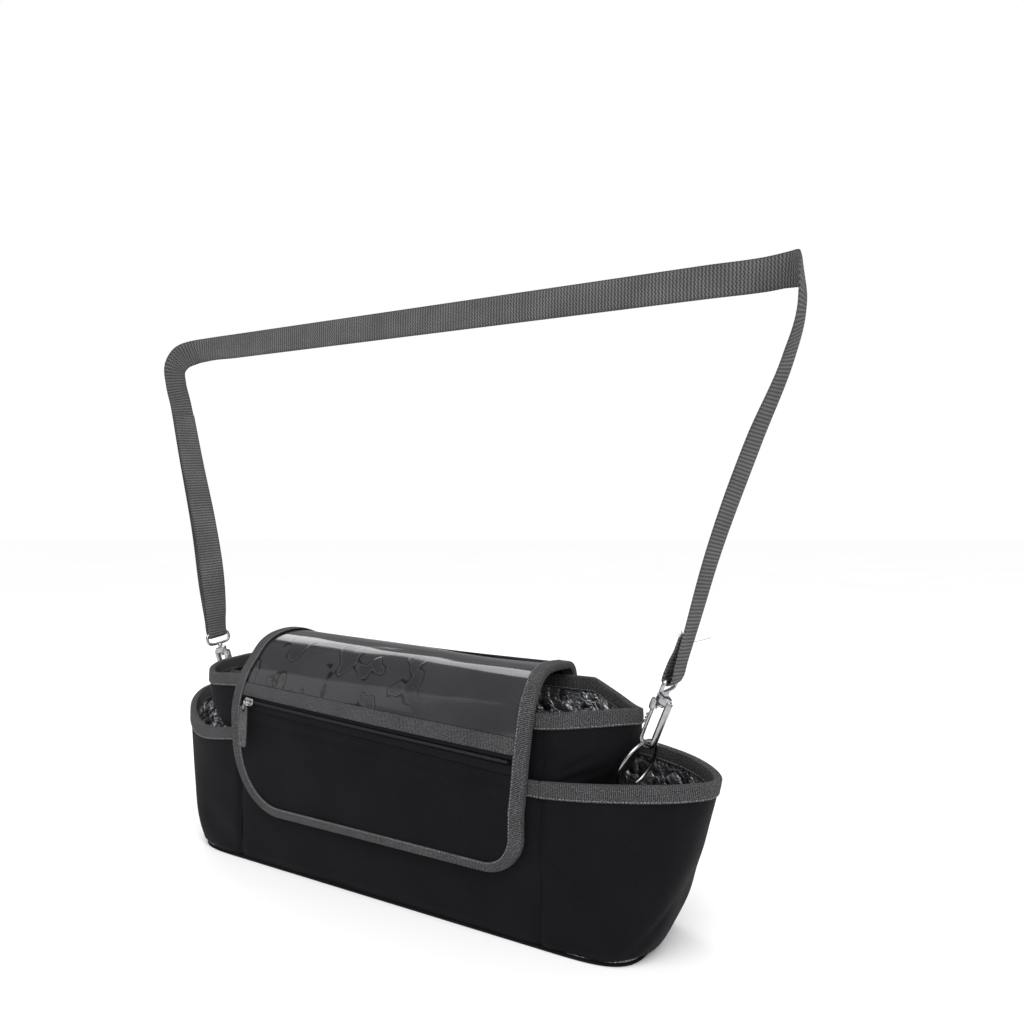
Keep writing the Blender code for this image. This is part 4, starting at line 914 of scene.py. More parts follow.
def flap_rows(start, end, step=2.0):
    """Travels from start to end, closer together round the front corners."""
    bend = flap_length - CORNER_LEFT
    straight = np.linspace(start, min(end, bend), max(2, int((min(end, bend) - start) / step) + 1))
    if end <= bend:
        return straight
    turn = np.linspace(0.0, math.asin(min(1.0, (end - bend) / CORNER_LEFT)), 40)[1:]
    return np.concatenate([straight, bend + CORNER_LEFT * np.sin(turn)])


def flap_sheet(name, start, end, top, thickness, paint, relief=None, columns=130):
    """One layer of the flap between two travels, with its top at an offset and an optional relief."""
    travel = flap_rows(start, end)
    left, right = flap_edges(travel)
    x = left[:, None] + (right - left)[:, None] * np.linspace(0.0, 1.0, columns)[None]
    t = np.broadcast_to(travel[:, None], x.shape)
    height = np.zeros_like(x) if relief is None else relief(t, x)
    outer = flap_point(t, x, top + height)
    inner = flap_point(t, x, top + height - thickness)
    made = two_faced(name, outer, inner, np.stack([x, t], axis=-1) / 10.0, paint)
    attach(made, "bag")
    return made


under = -(FLAP_OUTER + GAP)
panel = flap_sheet("flap_underside", 0.0, flap_length, under, FLAP_PANEL, black_cloth, columns=70)
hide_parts("flap_panel")

window_start = crest - WINDOW_LAP
back = flap_sheet("flap_back_cloth", 0.0, window_start - GAP, 0.0, FLAP_OUTER, black_cloth)
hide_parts("flap_back")

# Clear sheet over the dark lining. In front of the crest it sticks to the lining in patches,
# each a pale ring with a dark rim, and they fade out to the right.
vinyl = Paint(
    "clear_vinyl_window", "clear_window",
    IOR=1.5, Specular_IOR_Level=0.4, Coat_Weight=0.3, Coat_Roughness=0.08)
point, u, v = vinyl.across()
slow = vinyl.noise(vinyl.stretched(point, (0.8, 0.62, 1.0)), 0.62, 1.5, 0.45)
touch = slow.step(0.52, 0.55)
ring = touch * (1.0 - slow.step(0.55, 0.585))
low = v.step(crest * 0.1 + 1.2, crest * 0.1 + 2.4) * (1.0 - u.step(1.0, 7.0))
haze = vinyl.noise(point, 0.25, 2.0)
rim = slow.step(0.515, 0.53) * (1.0 - slow.step(0.53, 0.545))
tone = haze * 0.5 + 0.3 + ring * low * 0.16 - touch * low * 0.15 - rim * low * 0.8
vinyl.set(
    Base_Color=vinyl.mix(tone, (0.002, 0.0025, 0.003, 1.0), (0.05, 0.049, 0.053, 1.0)),
    Roughness=0.09 + touch * low * 0.1 + haze * 0.05,
    Alpha=0.9 + ring * low * 0.1)
vinyl.bump(ring * low * 0.3 + haze * 0.4, 0.0004)


def window_relief(travel, x):
    """Soft waves in the vinyl, and fine streaks along its width just in front of the crest."""
    wave = ripple(x, travel, 70.0, 41, stretch=2.0) * 0.16 + ripple(x, travel, 24.0, 42, stretch=1.6) * 0.04
    streak = ripple(x * 0.16, travel, 9.0, 45) * np.exp(-((travel - crest - WINDOW_LAP) / 16.0) ** 2)
    return wave + streak * 0.1


window = flap_sheet("flap_window_vinyl", window_start, band_top - GAP, -0.3, VINYL, vinyl, window_relief)
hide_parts("flap_window")

band = flap_sheet("window_band_tape", band_top, band_top + BAND, 0.0, FLAP_OUTER, grosgrain)
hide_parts("window_band")

zip_cloth = woven(
    "zip_tape_cloth", "zip_tape", (0.002, 0.002, 0.003, 1.0), (0.02, 0.02, 0.022, 1.0), 0.07)
upper = band_top + BAND + GAP
tape_above = flap_sheet("zip_tape_top", upper, upper + ZIP_TAPE_ABOVE, -0.2, ZIP_TAPE, zip_cloth)
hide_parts("zip_tape_upper")
coil_at = upper + ZIP_TAPE_ABOVE + GAP + COIL_HALF
lower = coil_at + COIL_HALF + GAP
tape_below = flap_sheet("zip_tape_bottom", lower, lower + ZIP_TAPE_BELOW, -0.2, ZIP_TAPE, zip_cloth)
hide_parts("zip_tape_lower")

placket = lower + ZIP_TAPE_BELOW + GAP


def pocket_relief(travel, x):
    """Pocket front: a folded placket under the zip, a slack belly and a few lazy creases."""
    depth = travel - placket
    fold = 0.55 * np.exp(-((depth - 3.0) / 2.2) ** 2) - 0.7 * np.exp(-((depth - 7.5) / 1.6) ** 2)
    share = np.clip(depth / (flap_length - placket), 0.0, 1.0)
    belly = 1.3 * np.sin(math.pi * share) * (1.0 - (x / 135.0) ** 2)
    slack = ripple(x, travel, 60.0, 43) * 0.35 * np.clip(depth / 12.0, 0.0, 1.0)
    return fold + belly + slack - 0.1


pocket = flap_sheet("flap_pocket_cloth", placket, flap_length, 0.0, FLAP_OUTER, black_cloth, pocket_relief)
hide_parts("flap_pocket_front")

turn = np.radians(np.linspace(0.0, 90.0, 40))
sides = []
for which, corner in ((0, CORNER_LEFT), (1, CORNER_RIGHT)):
    bend = flap_length - corner
    travel = np.concatenate([np.arange(6.0, bend, 1.2), (bend + corner * np.sin(turn))[:-1]])
    sides.append(np.column_stack([flap_edges(travel)[which], travel]))
end_left, end_right = flap_edges(np.array([flap_length]))
line_bottom = np.column_stack([np.linspace(end_left[0], end_right[0], 120), np.full(120, flap_length)])
flap_edge = evenly(np.concatenate([sides[0], line_bottom, sides[1][::-1]]), 560)
edge_along = unit(np.gradient(flap_edge, axis=0))
edge_inward = np.column_stack([edge_along[:, 1], -edge_along[:, 0]])
if np.sum(edge_inward * (np.array([0.0, flap_length / 2.0]) - flap_edge)) < 0.0:
    edge_inward = -edge_inward


def edge_line(reach, offset):
    """Line along the flap's bound edge, a reach in from the edge and an offset out from its face."""
    slim = 1.0 - 0.3 * np.clip(-edge_inward[:, 1:], 0.0, 1.0) ** 2
    spot = flap_edge + edge_inward * slim * reach
    return flap_point(spot[:, 1], spot[:, 0], offset)


low = -(FLAP_OUTER + GAP + FLAP_PANEL)
grids = []
for thick, puff in ((TAPE, 0.2), (TAPE_FILL, 0.0)):
    far = GAP + thick
    steps = [(BINDING, far), (7.8, far + puff), (5.6, far + puff), (3.4, far + puff), (1.3, far + puff * 0.6)]
    middle = low / 2.0
    half = (far - low + far) / 2.0
    for angle in np.radians(np.linspace(75.0, -75.0, 9)):
        steps.append((-far * math.cos(angle) + 0.2, middle + half * math.sin(angle)))
    steps += [(1.3, low - far), (3.4, low - far), (5.6, low - far), (7.8, low - far), (BINDING, low - far)]
    grids.append(np.stack([edge_line(reach, offset) for reach, offset in steps], axis=1))
outer, inner = grids
edge = two_faced("flap_edge_tape", outer, inner, grid_lengths(outer), grosgrain)
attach(edge, "bag")
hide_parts("flap_binding")
line = edge_line(STITCH_DEPTH, GAP + TAPE + 0.12)
row = stitch_row("flap_edge_stitches", line, edge_line(STITCH_DEPTH, 8.0) - line, thread)
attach(row, "bag")


# Zip
# A black nylon coil across the flap's front, with a nickel slider at its left end.
# A wire bail through the slider's arch carries a flat grey pull tab.
COIL_INSET = 12.0
COIL_OUT = 0.15
COIL_RADIUS = 0.8
TOOTH = 0.45
TOOTH_STEPS = 7.0
SLIDER_PLACE = 7.5
SLIDER_HALVES = (4.4, 3.5, 0.85)
ARCH_HALF = 2.9
ARCH_HEIGHT = 3.0
ARCH_WIRE = 0.62
BAIL_HALF = 3.4
BAIL_SIDE = 2.0
BAIL_HELD = 1.45
BAIL_WIRE = 0.45
TAB_HALVES = (4.0, 15.0)
TAB_CORNER = 0.28
TAB_DROP = 12.3
TAB_HOLE = 1.75
TAB_FRONT = ((0.0, 0.0), (0.02, 0.28), (0.1, 0.34), (0.5, 0.48), (0.96, 0.5), (1.0, 0.38))
TAB_BACK = ((1.0, -0.38), (0.96, -0.5), (0.5, -0.48), (0.1, -0.34), (0.02, -0.28))

nickel = Paint("nickel_plate", "nickel_wire", Metallic=1.0)
scuff = nickel.noise(nickel.place(), 260.0, 4.0, 0.6)
nickel.set(
    Base_Color=nickel.mix(scuff, (0.22, 0.22, 0.225, 1.0), (0.55, 0.55, 0.56, 1.0)),
    Roughness=0.16 + scuff * 0.16)
nickel.bump(scuff, 0.00003)

nylon = Paint("black_nylon_coil", "zip_coil_plastic", Specular_IOR_Level=0.18)
fleck = nylon.noise(nylon.place(), 700.0)
nylon.set(
    Base_Color=nylon.mix(fleck, (0.003, 0.003, 0.004, 1.0), (0.02, 0.02, 0.022, 1.0)),
    Roughness=0.42 + fleck * 0.2)

coil_left, coil_right = flap_edges(np.array([coil_at]))
coil_x = np.linspace(coil_left[0] + COIL_INSET, coil_right[0] - COIL_INSET, 1100)
coil_path = flap_point(coil_at, coil_x, COIL_OUT)


def tube_rings(path, across, radius, sides=16, closed=False, flat=1.0):
    """Circles round a path. Each one starts along the given direction, and flat squeezes it the other way."""
    path = np.asarray(path, dtype=float)
    if closed:
        along = unit(np.roll(path, -1, axis=0) - np.roll(path, 1, axis=0))
    else:
        along = unit(np.gradient(path, axis=0))
    across = np.broadcast_to(np.asarray(across, dtype=float), path.shape)
    first = unit(across - along * np.sum(across * along, axis=1, keepdims=True))
    second = np.cross(along, first)
    turn = full_turn(sides)
    radius = np.broadcast_to(np.asarray(radius, dtype=float), (len(path),))
    flat = np.broadcast_to(np.asarray(flat, dtype=float), (len(path),))
    ring = first[:, None] * np.cos(turn)[None, :, None]
    ring = ring + second[:, None] * (np.sin(turn)[None, :] * flat[:, None])[..., None]
    return path[:, None] + ring * radius[:, None, None]


teeth = 0.5 + 0.5 * np.cos(2.0 * math.pi * np.arange(len(coil_x)) / TOOTH_STEPS)
coil_rings = tube_rings(coil_path, (0.0, 0.0, 1.0), COIL_RADIUS + TOOTH * teeth, 10)
coil = rings_mesh("zip_coil_nylon", coil_rings, nylon, sharp=80.0)
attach(coil, "bag")
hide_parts("zip_coil")

slider_x = coil_x[0] + SLIDER_PLACE
here = flap_point(coil_at, slider_x, COIL_OUT)
ahead = flap_point(coil_at, slider_x + 20.0, COIL_OUT)
zip_along = unit(ahead - here)
zip_out = unit(flap_point(coil_at, slider_x, 5.0) - here)
zip_down = np.cross(zip_along, zip_out)
if zip_down[2] > 0.0:
    zip_down = -zip_down


def rounded_block(name, centre, axes, halves, taper=(1.0, 1.0)):
    """Nickel block with soft edges: superellipse slices along its first axis, drawn in at both ends."""
    first, second, third = [unit(axis) for axis in axes]
    places = np.sin(np.linspace(-math.pi / 2.0, math.pi / 2.0, 17))
    swell = (1.0 - np.abs(places) ** 6 * 0.98) ** (1.0 / 2.0)
    c, s = superellipse(full_turn(32), 2.0 / 3.0)
    rings = []
    for place, size in zip(places, swell):
        wide = taper[0] + (taper[1] - taper[0]) * (place + 1.0) / 2.0
        middle = np.asarray(centre) + first * halves[0] * place
        slice_wide = np.outer(c * size * wide * halves[1], second)
        slice_high = np.outer(s * size * halves[2], third)
        rings.append(middle + slice_wide + slice_high)
    return rings_mesh(name, np.array(rings), nickel, sharp=70.0)


def merged(name, pieces):
    """Join several meshes into one object."""
    bpy.ops.object.select_all(action="DESELECT")
    for piece in pieces:
        piece.select_set(True)
    bpy.context.view_layer.objects.active = pieces[0]
    bpy.ops.object.join()
    pieces[0].name = name
    return pieces[0]


plate = here + zip_out * (COIL_HALF + GAP + 0.9)
shell = rounded_block(
    "slider_shell", plate, (zip_along, zip_down, zip_out), SLIDER_HALVES, (1.0, 0.72))
rise = zip_out * 0.8
post = plate + rise
turn = np.linspace(0.0, math.pi, 25)
arch_path = post + np.outer(np.cos(turn) * ARCH_HALF, zip_along)
arch_path = arch_path + np.outer(np.sin(turn) * ARCH_HEIGHT, zip_out)
arch_path = np.concatenate([[arch_path[0] - rise], arch_path, [arch_path[-1] - rise]])
arch = rings_mesh("slider_arch", tube_rings(arch_path, zip_down, ARCH_WIRE, 14), nickel)
slider = merged("zip_slider_metal", [shell, arch])
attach(slider, "slider")
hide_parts("zip_slider")

tilt = unit(zip_out * 0.866 + zip_along * 0.5)
turn = full_turn(64)
bail_middle = post + zip_out * ARCH_HEIGHT + zip_down * (BAIL_HALF - BAIL_HELD)
bail_path = bail_middle + np.outer(np.cos(turn) * BAIL_HALF, zip_down)
bail_path = bail_path + np.outer(np.sin(turn) * BAIL_SIDE, tilt)
bail_rings = tube_rings(bail_path, np.cross(zip_down, tilt), BAIL_WIRE, 12, True)
bail = rings_mesh("zip_bail_wire", bail_rings, nickel, closed=True)
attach(bail, "bail")
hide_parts("zip_bail")

pull_paint = Paint("grey_pull_tab", "pull_tab", Specular_IOR_Level=0.25)
grain = pull_paint.noise(pull_paint.place(), 620.0, 4.0, 0.75).step(0.3, 0.7)
cloud = pull_paint.noise(pull_paint.place(), 120.0, 2.0)
tone = grain * 0.6 + cloud * 0.4
pull_paint.set(
    Base_Color=pull_paint.mix(tone, (0.012, 0.012, 0.013, 1.0), (0.12, 0.12, 0.123, 1.0)),
    Roughness=0.7 - grain * 0.15)
pull_paint.bump(grain, 0.00012)
hold = bail_middle + zip_down * (BAIL_HALF + GAP)
hang = unit(zip_down * 0.35 + np.array([0.0, 0.0, -1.0]))
face = unit(np.cross(zip_along, hang))
spin = full_turn(96)
wide, tall = superellipse(spin, TAB_CORNER)
rim_points = np.outer(tall * TAB_HALVES[1] + TAB_DROP, hang) + np.outer(wide * TAB_HALVES[0], zip_along)
hole_points = np.outer(np.sin(spin) * TAB_HOLE, hang) + np.outer(np.cos(spin) * TAB_HOLE, zip_along)
rings = []
for share, lift in TAB_FRONT + TAB_BACK:
    rings.append(hold + hole_points * share + rim_points * (1.0 - share) + face * lift)
pull = rings_mesh("zip_pull_tab", np.array(rings), pull_paint, closed=True)
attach(pull, "pull")
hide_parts("zip_pull")


# Rings and their cloth tabs
# A nickel wire ring hangs in a folded cloth tab on each end wall, and the hook draws it up.
RING_TOP = {"right": (184.5, -5.0, 124.5), "left": (-198.0, 4.8, 121.6)}
PULL = {"right": (0.40, -0.11, 0.91), "left": (-0.24, -0.14, 0.96)}
RING_AXIS = {"right": (0.25, 0.97, 0.0), "left": (-0.25, 0.97, 0.0)}
EYE_AXIS = {"right": (0.1, 0.99, 0.0), "left": (0.35, 0.93, 0.0)}
RING_RADIUS = 17.0
WIRE = 1.2
TAB_FEET = ((26.0, 2.2), (16.0, 3.7))
TAB_NECK = 7.0
TAB_PLY = 0.8
TAB_PLY_APART = 0.55
TAB_LOOP = 2.9
TAB_WIDTHS = [14.0, 13.0, 10.0]


def hook_axes(side):
    """Pull direction, gate direction and ring wire direction of one side."""
    pull = unit(PULL[side])
    wire = np.array(RING_AXIS[side])
    wire = unit(wire - pull * np.dot(wire, pull))
    gate = np.cross(wire, pull)
    return pull, gate * -SIGN[side], wire


def eye_axis(side, pull):
    """Direction of the long side of one side's eye, square to its pull."""
    eye = np.array(EYE_AXIS[side])
    return unit(eye - pull * np.dot(eye, pull))


def ribbon_rings(keys, across, widths, thickness, step):
    """Flat tape along a smooth line through the keys.

    Its section is thinner at both edges. Returns its rings, its cloth coordinates and its middle line.
    """
    keys = np.asarray(keys, dtype=float)
    travel = travelled(keys)
    fine = []
    for start, end in zip(travel[:-1], travel[1:]):
        pieces = max(1, int(math.ceil((end - start) / step)))
        fine.extend(np.linspace(start, end, pieces + 1)[:-1])
    fine = np.array(fine + [travel[-1]])
    line = smooth_through(travel, keys, fine)
    side = smooth_through(travel, np.asarray(across, dtype=float), fine)
    width = smooth_through(travel, np.asarray(widths, dtype=float), fine)
    along = unit(np.gradient(line, fine, axis=0))
    side = unit(side - along * np.sum(side * along, axis=1, keepdims=True))
    up = np.cross(along, side)
    places = np.linspace(-1.0, 1.0, 15)
    crown = 1.0 - np.abs(places) ** 6 * 0.75
    profile = [(place, high) for place, high in zip(places, crown)]
    profile += [(place, -high) for place, high in zip(places[::-1], crown[::-1])]
    rings = [line + side * (width * a / 2.0)[:, None] + up * (thickness * b / 2.0) for a, b in profile]
    rings = np.stack(rings, axis=1)
    v = np.array([a for a, b in profile])[None] * width[:, None] / 20.0
    uv = np.stack([np.broadcast_to(fine[:, None] / 10.0, v.shape), v], axis=-1)
    return rings, uv, line


for side in ("right", "left"):
    pull, gate, wire = hook_axes(side)
    top = np.array(RING_TOP[side])
    middle = top - pull * RING_RADIUS
    turn = full_turn(96)
    path = middle + RING_RADIUS * (np.outer(np.cos(turn), pull) + np.outer(np.sin(turn), wire))
    ring = rings_mesh(f"ring_wire_{side}", tube_rings(path, gate, WIRE, 16, True), nickel, closed=True)
    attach(ring, "bag")
    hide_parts(f"ring_{side}")

    held = top - pull * 2.0 * RING_RADIUS
    out = gate if gate[0] * SIGN[side] > 0.0 else -gate
    rim_heights = smooth_through(RIM_ANGLES, RIMS["main", side], np.degrees(ANGLES))
    feet = []
    for below, stand_off in TAB_FEET:
        height = held[2] - below
        line = end_line(side, "main", 0.0, rim_heights - height)
        angle = math.asin(np.clip(held[1] / MAIN_DEPTH, -0.9, 0.9))
        spot = int(np.argmin(np.abs(ANGLES - angle)))
        tangent = unit(line[spot + 4] - line[spot - 4])
        normal = unit(np.array([tangent[1], -tangent[0], 0.0]) * SIGN[side])
        feet.append((line[spot] + normal * stand_off, tangent, normal))
    neck = held - pull * TAB_NECK
    middle = [(feet[0][0], feet[0][2]), (feet[1][0], feet[1][2]), (neck, out)]
    sides = [feet[0][1], feet[1][1], wire]
    spin = np.radians(np.linspace(-40.0, 220.0, 10))
    loop = held + TAB_LOOP * (np.outer(np.cos(spin), out) + np.outer(np.sin(spin), pull))
    keys = [spot + normal * TAB_PLY_APART for spot, normal in middle] + list(loop)
    keys += [spot - normal * TAB_PLY_APART for spot, normal in reversed(middle)]
    across = sides + [wire] * len(loop) + sides[::-1]
    widths = TAB_WIDTHS + TAB_WIDTHS[-1:] * len(loop) + TAB_WIDTHS[::-1]
    rings, uv = ribbon_rings(keys, across, widths, TAB_PLY, 1.2)[:2]
    tab = rings_mesh(f"ring_tab_cloth_{side}", rings, black_cloth, uv)
    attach(tab, "bag")
    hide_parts(f"ring_tab_{side}")


# Snap hooks
# Each nickel hook has a bowed nose, a sprung lever gate, and a barrel that turns on the stud of a wire eye.
HOOK_HALF = 4.6
HOOK_WIRE = 1.6
PIVOT = 22.0
BARREL = ((26.9, 3.9), (27.0, 4.6), (27.4, 5.0), (28.2, 5.1), (29.5, 4.7), (30.8, 5.1), (31.6, 5.0),
          (32.0, 4.5), (32.1, 3.8))
PIN = ((-2.9, 0.5), (-2.8, 0.85), (-2.5, 0.95), (2.5, 0.95), (2.8, 0.85), (2.9, 0.5))
KNUCKLE = ((-1.25, 1.1), (-1.2, 1.35), (-1.0, 1.5), (1.0, 1.5), (1.2, 1.35), (1.25, 1.1))
THUMB_RIDGES = (10.6, 13.0, 15.4)
STUD = ((24.5, 0.8), (24.6, 1.5), (24.9, 1.9), (25.6, 2.0), (26.2, 1.9), (26.4, 1.05), (32.35, 1.05),
        (32.5, 1.9), (33.4, 2.0), (34.3, 1.8), (35.0, 1.5), (35.6, 0.9))
EYE_PLACE = 40.0
EYE_HALVES = (9.2, 4.6)


def turned(name, spot, profile, across, sides, flat=1.0):
    """Nickel solid with round slices: spot gives a slice's middle, and the profile its place and radius."""
    places, radii = zip(*profile)
    rings = tube_rings([spot(place) for place in places], across, radii, sides, flat=flat)
    return rings_mesh(name, rings, nickel)


for side in ("right", "left"):
    pull, gate, wire = hook_axes(side)
    start = np.array(RING_TOP[side])

    def at(p, e, q=0.0, start=start, pull=pull, gate=gate, wire=wire):
        """Point of the hook: p towards its gate, e up its length, q along the ring's wire."""
        return start + gate * p + pull * e + wire * q

    bow = HOOK_HALF - HOOK_WIRE - WIRE - GAP
    turn = np.radians(np.linspace(180.0, 360.0, 33))
    spine = [at(-HOOK_HALF, e) for e in np.linspace(29.0, 4.0, 14)]
    spine += [at(HOOK_HALF * math.cos(t), bow + HOOK_HALF * math.sin(t)) for t in turn]
    spine += [at(HOOK_HALF, e) for e in np.linspace(2.5, 6.4, 4)]
    share = np.linspace(0.0, 1.0, len(spine))
    thick = 1.75 - 0.45 * share ** 3 + 0.55 * (1.0 - np.clip((share - 0.2) / 0.22, 0.0, 1.0) ** 2)
    body = rings_mesh(
        "hook_bow", tube_rings(spine, wire, thick, 20, flat=0.92 - 0.1 * share), nickel)
    barrel = turned("hook_barrel", lambda e, at=at: at(0.0, e), BARREL, gate, 40, 0.62)
    shoulder = rounded_block("hook_shoulder", at(-2.8, 28.6), (gate, pull, wire), (3.2, 2.2, 2.0))
    cheeks = [
        rounded_block("hook_cheek", at(HOOK_HALF, 24.4, q), (pull, gate, wire), (4.2, 1.9, 0.55))
        for q in (-2.05, 2.05)]
    pin = turned("hook_pin", lambda q, at=at: at(HOOK_HALF, PIVOT, q), PIN, pull, 16)
    hook = merged(f"hook_frame_{side}", [body, barrel, shoulder, *cheeks, pin])
    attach(hook, f"hook_{side}")
    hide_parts(f"hook_body_{side}")

    lever_path = [at(HOOK_HALF, e) for e in np.linspace(22.6, 6.9, 18)]
    share = np.linspace(0.0, 1.0, len(lever_path))
    lever = rings_mesh(
        "gate_lever", tube_rings(lever_path, wire, 1.25 - 0.15 * share, 18, flat=0.95), nickel)
    knuckle = turned("gate_knuckle", lambda q, at=at: at(HOOK_HALF, PIVOT, q), KNUCKLE, pull, 20)
    thumbs = [
        rounded_block("gate_thumb", at(HOOK_HALF + 1.3, e), (gate, pull, wire), (1.2, 0.75, 1.15))
        for e in THUMB_RIDGES]
    lever = merged(f"hook_lever_{side}", [lever, knuckle, *thumbs])
    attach(lever, f"gate_{side}")
    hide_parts(f"hook_gate_{side}")

    eye = eye_axis(side, pull)
    wide, tall = superellipse(full_turn(96), 0.6)
    path = at(0.0, EYE_PLACE) + np.outer(wide * EYE_HALVES[0], eye) + np.outer(tall * EYE_HALVES[1], pull)
    path = evenly(path, 96, closed=True)
    loop = rings_mesh("eye_wire", tube_rings(path, np.cross(eye, pull), WIRE, 16, True), nickel, closed=True)
    stud = turned("eye_stud", lambda e, at=at: at(0.0, e), STUD, gate, 24)
    eyelet = merged(f"hook_loop_{side}", [loop, stud])
    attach(eyelet, "bag")
    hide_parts(f"hook_eye_{side}")


# Webbing strap
# One flat grey webbing from hook to hook, drawn up round where a handle would be.
# Its right end is folded through the eye and stitched short, and its left end lies doubled for a long way.
STRAP_WIDTH = 20.0
STRAP_THICKNESS = 1.5
LOOP_WIDTH = 15.0
LOOP_RADIUS = 3.0
PICK_PITCH = 0.22
WARP_PITCH = 0.1
STRAP_RIGHT_KEYS = (
    (224.0, -7.0, 233.0), (248.0, -3.5, 302.0), (268.0, -9.0, 346.0), (276.5, -18.0, 369.0),
    (277.0, -18.0, 382.0), (274.0, -8.0, 392.5), (267.0, -0.5, 395.5), (256.0, 2.7, 396.0),
)
STRAP_RIGHT_ACROSS = (
    (0.15, 0.98, 0.0), (0.2, 0.96, 0.0), (0.1, 0.98, 0.1), (0.0, 1.0, 0.0),
    (0.0, 0.9, -0.35), (0.0, 0.4, -0.9), (0.0, 0.05, -1.0), (0.0, 0.0, -1.0),
)
STRAP_LEFT_KEYS = (
    (-216.0, -6.5, 407.0), (-227.0, -10.0, 405.5), (-232.8, -17.0, 401.0), (-234.8, -23.0, 391.0),
    (-235.6, -21.5, 377.0), (-236.0, -17.0, 362.0), (-229.0, -13.5, 320.0), (-215.0, -8.5, 245.0),
)
STRAP_LEFT_ACROSS = (
    (0.0, 0.0, -1.0), (0.0, 0.15, -1.0), (0.0, 0.5, -0.85), (0.0, 0.95, -0.3),
    (0.0, 1.0, 0.0), (0.05, 0.98, 0.1), (0.15, 0.97, 0.0), (0.3, 0.94, 0.0),
)

webbing = Paint(
    "grey_webbing", "grey_webbing", Sheen_Weight=0.03, Sheen_Roughness=0.4, Specular_IOR_Level=0.1)
point, u, v = webbing.across()
waved = (v * (2.0 * math.pi / 0.26)).sine() * 0.9
pick = (u * (2.0 * math.pi / PICK_PITCH) + waved).sine() * 0.5 + 0.5
warp = (v * (2.0 * math.pi / WARP_PITCH)).sine() * 0.5 + 0.5
fleck = webbing.noise(point, 13.0, 4.0, 0.75)
cloud = webbing.noise(point, 0.5, 2.0)
edge = 1.0 - v.absolute().step(0.82, 1.0) * 0.35
tone = (pick * 0.6 + warp * 0.15 + fleck.step(0.3, 0.75) * 0.35) * (cloud * 0.6 + 0.6) * edge
webbing.set(
    Base_Color=webbing.mix(tone, (0.008, 0.008, 0.008, 1.0), (0.2, 0.195, 0.193, 1.0)),
    Roughness=0.86 - pick * 0.1)
webbing.bump(pick + warp * 0.4 + fleck * 0.5, 0.0004)


def strap_tail(out, leg, gaps, distances):
    """Keys of the folded-back ply of a strap loop, beside the main ply leg."""
    return smooth_through(travelled(leg), leg, distances) - out * np.asarray(gaps)[:, None]


strap_ends = {}
for side in ("right", "left"):
    pull, gate, wire = hook_axes(side)
    eye = eye_axis(side, pull)
    out = np.cross(eye, pull)
    if out[0] * SIGN[side] < 0.0:
        out = -out
    centre = np.array(RING_TOP[side]) + pull * (EYE_PLACE + EYE_HALVES[1] - 0.35)
    spin = np.radians(np.linspace(180.0, 360.0, 9))
    loop = centre + LOOP_RADIUS * (np.outer(np.cos(spin), out) + np.outer(np.sin(spin), pull))
    strap_ends[side] = (out, eye, loop)

# The right end: its short folded ply, the turn round the eye, and the main ply up to the bend.
out, eye, loop = strap_ends["right"]
leg = np.vstack([loop[-1], np.array(STRAP_RIGHT_KEYS)])
away = 26.0 * np.array([1.0, 0.7, 0.42, 0.2])
ply = strap_tail(out, leg, np.array([1.9, 2.9, 4.8, 5.6]), away)
keys = list(ply) + list(loop)
across = [eye] * (len(ply) + len(loop))
widths = [19.0, 18.0, 16.0, LOOP_WIDTH] + [LOOP_WIDTH] * len(loop)
keys += list(smooth_through([0.0, 1.0], np.vstack([loop[-1], leg[1]]), np.array([0.15, 0.5])))
across += [eye, eye]
widths += [16.0, 19.0]
start = np.array(STRAP_RIGHT_KEYS[-1])
span = np.array(STRAP_LEFT_KEYS[0]) - start
bridge = [tuple(start + span * share) for share in (0.08, 0.5, 0.92)]
keys += list(STRAP_RIGHT_KEYS) + bridge + list(STRAP_LEFT_KEYS)
across += list(STRAP_RIGHT_ACROSS) + [(0.0, 0.0, -1.0)] * len(bridge) + list(STRAP_LEFT_ACROSS)
widths += [STRAP_WIDTH] * (len(STRAP_RIGHT_KEYS) + len(bridge) + len(STRAP_LEFT_KEYS))

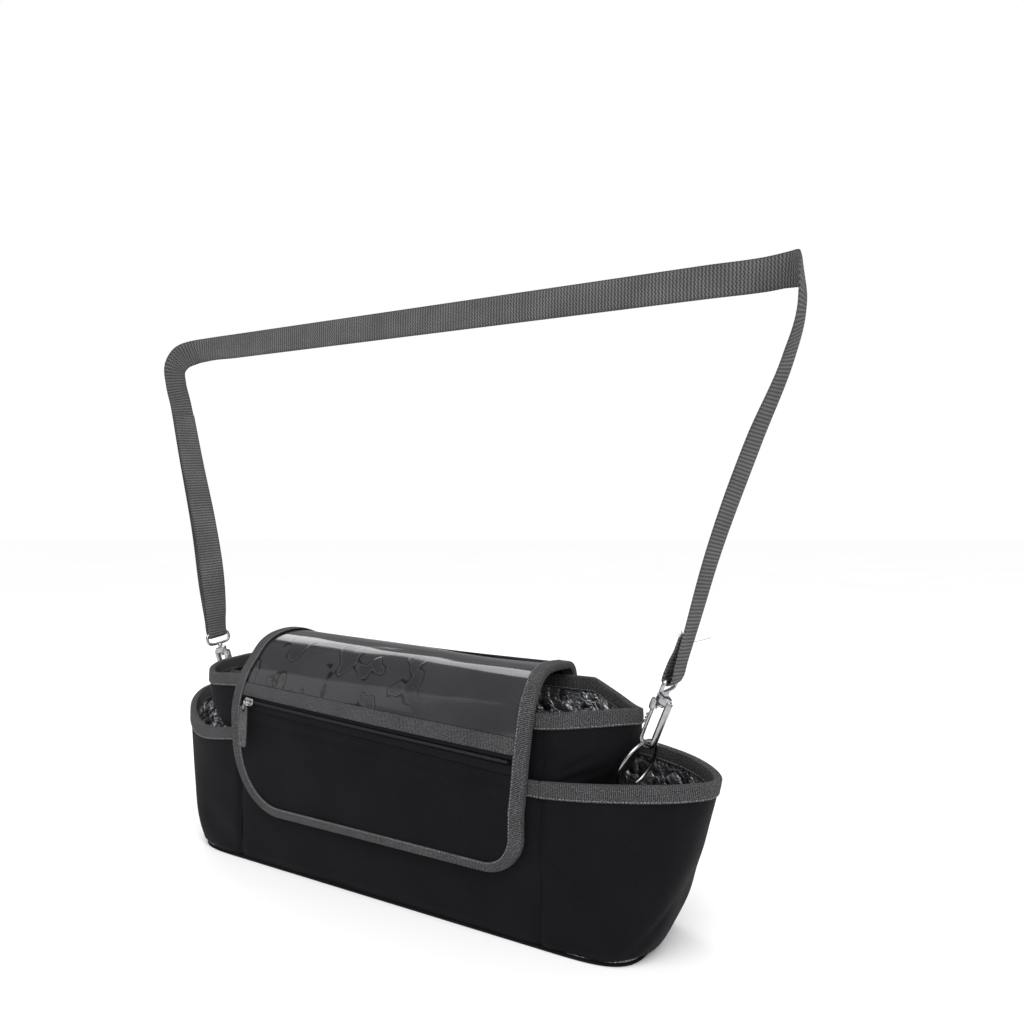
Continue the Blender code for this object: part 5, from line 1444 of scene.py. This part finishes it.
# The left end: down to its eye, round it, and back up along the main ply for a long way.
out, eye, loop = strap_ends["left"]
leg = np.vstack([loop[-1], np.array(STRAP_LEFT_KEYS)[::-1]])
keys += list(smooth_through([0.0, 1.0], np.vstack([loop[-1], leg[1]]), np.array([0.5, 0.15])))
across += [eye, eye]
widths += [19.0, 16.0]
gaps = np.array([6.4, 8.0, 8.2, 5.4, 2.8, 1.9])
ply = strap_tail(out, leg, gaps, np.array([7.0, 18.0, 45.0, 95.0, 150.0, 190.0]))
keys += list(loop[::-1]) + list(ply)
across += [eye] * (len(loop) + 3) + [(0.22, 0.96, 0.0), (0.15, 0.97, 0.0), (0.05, 0.98, 0.1)]
widths += [LOOP_WIDTH] * (len(loop) + 1) + [16.5, 19.0, STRAP_WIDTH, STRAP_WIDTH, STRAP_WIDTH]
rings, uv, strap_line = ribbon_rings(keys, across, widths, STRAP_THICKNESS, 3.0)
strap = rings_mesh("webbing_strap", rings, webbing, uv)
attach(strap, "bag")
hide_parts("strap")


FIBRE_RADIUS = 0.14


def fibre(start, way, side, long, bend):
    """One loose thread: a thin tube that leaves along a direction and curls to a side."""
    share = np.linspace(0.0, 1.0, 7)[:, None]
    path = start + way * share * long + side * bend * long * share ** 2
    return rings_mesh("fibre", tube_rings(path, np.cross(way, side), FIBRE_RADIUS, 5), webbing)


dice = np.random.default_rng(7)
end = strap_line[0]
away = unit(strap_line[0] - strap_line[3])
wide = unit(rings[0, 14] - rings[0, 0])
thick = unit(np.cross(away, wide))
fibres = []
for share in np.linspace(-0.95, 0.95, 58):
    lean = unit(away + wide * dice.normal(0.0, 0.3) + thick * dice.normal(0.0, 0.3))
    spot = end + wide * share * 9.0 + thick * dice.uniform(-0.5, 0.5) - away * 0.8
    curl = unit(np.cross(lean, thick) + thick * dice.normal(0.0, 1.0))
    long = dice.uniform(1.6, 4.6)
    fibres.append(fibre(spot, lean, curl, long, dice.normal(0.0, 0.6)))
aside = np.array([0.856, 0.5166, 0.0])
loose_start = end + aside - away * 4.0
fibres.append(fibre(loose_start, unit(aside + away * 0.1), np.array([0.0, 0.0, 1.0]), 15.5, 0.12))
frays = merged("strap_frayed_end", fibres)
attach(frays, "bag")
strap_path = strap_line * 0.001
tuple(strap_path[0])
[tuple(point) for point in strap_path]
